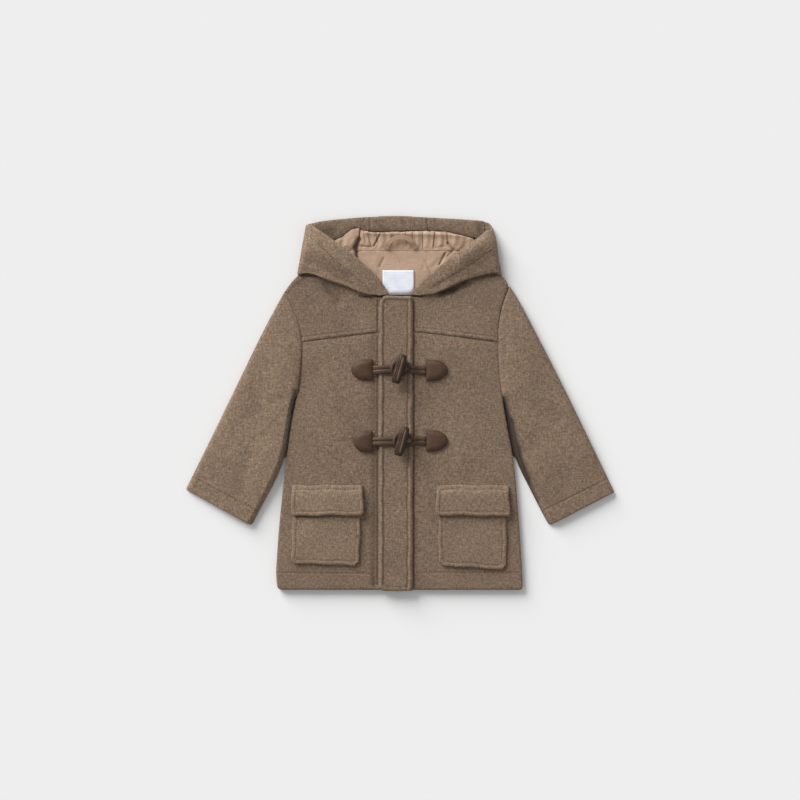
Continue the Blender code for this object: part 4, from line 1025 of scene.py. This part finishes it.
def one_stitch(length, thickness):
    """One stitch that shows: a short, slightly arched bar of thread, as points and faces."""
    bpy.ops.object.select_all(action="DESELECT")
    bpy.ops.mesh.primitive_uv_sphere_add(segments=6, ring_count=5, radius=0.5)
    stitch = bpy.context.active_object
    bpy.ops.object.mode_set(mode="EDIT")
    bpy.ops.mesh.select_all(action="SELECT")
    bpy.ops.transform.resize(value=(thickness, thickness, length))
    bpy.ops.transform.rotate(value=math.pi / 2.0, orient_axis="Y", center_override=(0.0, 0.0, 0.0))
    bpy.ops.object.mode_set(mode="OBJECT")
    mesh = stitch.data
    points = np.array([vert.co[:] for vert in mesh.vertices])
    faces = [tuple(face.vertices) for face in mesh.polygons]
    bpy.data.objects.remove(stitch)
    bpy.data.meshes.remove(mesh)
    return points, faces


def stitch_places(line, pitch):
    """Middle and direction of each stitch along a line."""
    places = []
    carried = 0.5 * pitch
    for (x0, y0), (x1, y1) in zip(line, line[1:]):
        length = math.hypot(x1 - x0, y1 - y0)
        angle = math.atan2(y1 - y0, x1 - x0)
        while carried < length:
            share = carried / length
            places.append((x0 + (x1 - x0) * share, y0 + (y1 - y0) * share, angle))
            carried += pitch
        carried -= length
    return places


def sew(name, rows, pitch, length, thickness, sunk, material):
    """Stitches along rows, each laid on the pieces below it. rows: (piece, line) pairs."""
    points, faces = one_stitch(length, thickness)
    all_points, all_faces = [], []
    for piece_name, line in rows:
        cloth = bpy.data.objects[piece_name]
        for x, y, angle in stitch_places(line, pitch):
            spots = []
            for end in (-0.5, 0.5):
                spot = Vector(((x + SHIFT.x) * MM + end * length * math.cos(angle),
                               (y + SHIFT.y) * MM + end * length * math.sin(angle), 0.2))
                hit, where, _, _ = cloth.ray_cast(spot, Vector((0.0, 0.0, -1.0)))
                if hit:
                    spots.append(where)
            if len(spots) < 2:
                continue
            slope = math.atan2(spots[1].z - spots[0].z, length)
            middle = (spots[0] + spots[1]) / 2.0 + Vector((0.0, 0.0, thickness * (0.5 - sunk)))
            turn = Matrix.Rotation(angle, 3, "Z") @ Matrix.Rotation(-slope, 3, "Y")
            placed = points @ np.array(turn).T + np.array(middle)
            first = len(all_points) * len(points)
            all_points.append(placed)
            all_faces += [tuple(first + corner for corner in face) for face in faces]
    mesh = bpy.data.meshes.new(name)
    mesh.from_pydata(np.concatenate(all_points).tolist(), [], all_faces)
    mesh.shade_smooth()
    mesh.materials.append(material)
    thread = bpy.data.objects.new(name, mesh)
    bpy.context.scene.collection.objects.link(thread)
    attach(thread, "root")


class DUFFLE_OT_stitching(bpy.types.Operator):
    """Topstitching on the wool, and the stitches round the leather patches"""
    bl_idname = "duffle.stitching"
    bl_label = "Stitching"

    def execute(self, context):
        trim = trim_values()
        tone = shared_material("tone_thread", spun_thread, trim.thread)
        dark = shared_material("brown_thread", spun_thread, linear("#33261D"))
        light = shared_material("beige_thread", spun_thread, linear("#B5A289"))
        pairs = [(node + "_piece", line) for node, lines in sewing_lines().items() for line in lines]
        sew("topstitching", pairs, STITCH_PITCH, trim.stitch_length, trim.thread_thickness, 0.35, tone)
        rims, tabs = [], []
        for place, (inner, outer, centre_y) in PATCHES.items():
            side = math.copysign(1.0, inner)
            reach = abs(outer) - abs(inner) - PATCH_STRAIGHT - PATCH_ROW_INSET
            half = PATCH_HALF_HEIGHT - PATCH_ROW_INSET
            rim = [(side * (abs(inner) + 1.0), centre_y + half)]
            for k in range(13):
                angle = math.pi / 2.0 - math.pi * k / 12.0
                rim.append((side * (abs(inner) + PATCH_STRAIGHT + reach * math.cos(angle)),
                            centre_y + half * math.sin(angle)))
            rim.append((side * (abs(inner) + 1.0), centre_y - half))
            rims.append(("patch_" + place + "_piece", rim))
            if side < 0.0:
                for away, top, foot in TAB_ROWS:
                    x = inner + away
                    tabs.append(("front_right_piece", [(x, centre_y + top), (x, centre_y + foot)]))
        sew("patch_stitching", rims, 2.2, 0.0016, 0.0005, 0.3, dark)
        sew("tab_stitching", tabs, 2.6, 0.0018, 0.0011, 0.1, light)
        return {"FINISHED"}


class DUFFLE_OT_stage(bpy.types.Operator):
    """Pale paper floor, soft light from the upper left and the camera straight above"""
    bl_idname = "duffle.stage"
    bl_label = "Stage"

    def execute(self, context):
        scene = context.scene
        stage = scene.duffle_stage
        bpy.ops.object.select_all(action="DESELECT")
        bpy.ops.mesh.primitive_plane_add(size=8.0, location=(0.0, 0.0, 0.0))
        floor = context.active_object
        floor.name = "paper_floor"
        floor.data.materials.append(shared_material("matt_background_paper", studio_paper, stage))
        middle = Vector(((0.65 + SHIFT.x) * MM, (2.86 + SHIFT.y) * MM, 0.0))
        camera = bpy.data.cameras.new("camera")
        camera.sensor_width = 36.0
        camera.lens = camera.sensor_width * stage.camera_height / stage.view_width
        camera.clip_end = 50.0
        eye = bpy.data.objects.new("camera", camera)
        eye.location = middle + Vector((0.0, 0.0, stage.camera_height))
        scene.collection.objects.link(eye)
        scene.camera = eye
        key = bpy.data.lights.new("key_light", "SUN")
        key.energy = stage.key_strength
        key.angle = stage.key_spread
        lamp = bpy.data.objects.new("key_light", key)
        flat = math.cos(stage.key_height)
        towards = Vector((-0.6 * flat, 0.8 * flat, math.sin(stage.key_height)))
        lamp.location = towards
        lamp.rotation_euler = (-towards).to_track_quat("-Z", "Y").to_euler()
        scene.collection.objects.link(lamp)
        world = bpy.data.worlds.new("studio")
        world.use_nodes = True
        light = world.node_tree.nodes["Background"].inputs
        light["Color"].default_value = (1.0, 1.0, 1.0, 1.0)
        light["Strength"].default_value = stage.fill
        scene.world = world
        scene.view_settings.view_transform = "Standard"
        return {"FINISHED"}


class DUFFLE_PT_panel(bpy.types.Panel):
    bl_idname = "DUFFLE_PT_panel"
    bl_label = "Duffle coat"
    bl_space_type = "VIEW_3D"
    bl_region_type = "UI"
    bl_category = "Duffle coat"

    def draw(self, context):
        for group_name in GROUPS:
            values = getattr(context.scene, group_name)
            box = self.layout.box()
            box.label(text=group_name.split("_")[1].title())
            for name in values.__annotations__:
                box.prop(values, name)
        for operator in OPERATORS:
            self.layout.operator(operator.bl_idname)


GROUPS = {"duffle_cloth": DuffleCloth, "duffle_trim": DuffleTrim, "duffle_stage": DuffleStage}
OPERATORS = (DUFFLE_OT_body, DUFFLE_OT_sleeves, DUFFLE_OT_hood, DUFFLE_OT_linings, DUFFLE_OT_fly_strip,
             DUFFLE_OT_pockets, DUFFLE_OT_fastenings, DUFFLE_OT_stitching, DUFFLE_OT_stage)


def register():
    for item in (*GROUPS.values(), *OPERATORS, DUFFLE_PT_panel):
        bpy.utils.register_class(item)
    for name, group in GROUPS.items():
        setattr(bpy.types.Scene, name, bpy.props.PointerProperty(type=group))


def unregister():
    for name in GROUPS:
        delattr(bpy.types.Scene, name)
    for item in (DUFFLE_PT_panel, *OPERATORS, *GROUPS.values()):
        bpy.utils.unregister_class(item)


def main():
    register()
    bpy.ops.duffle.body()
    bpy.ops.duffle.sleeves()
    bpy.ops.duffle.hood()
    bpy.ops.duffle.linings()
    bpy.ops.duffle.fly_strip()
    bpy.ops.duffle.pockets()
    bpy.ops.duffle.fastenings()
    bpy.ops.duffle.stitching()
    bpy.ops.duffle.stage()


if __name__ == "__main__":
    main()
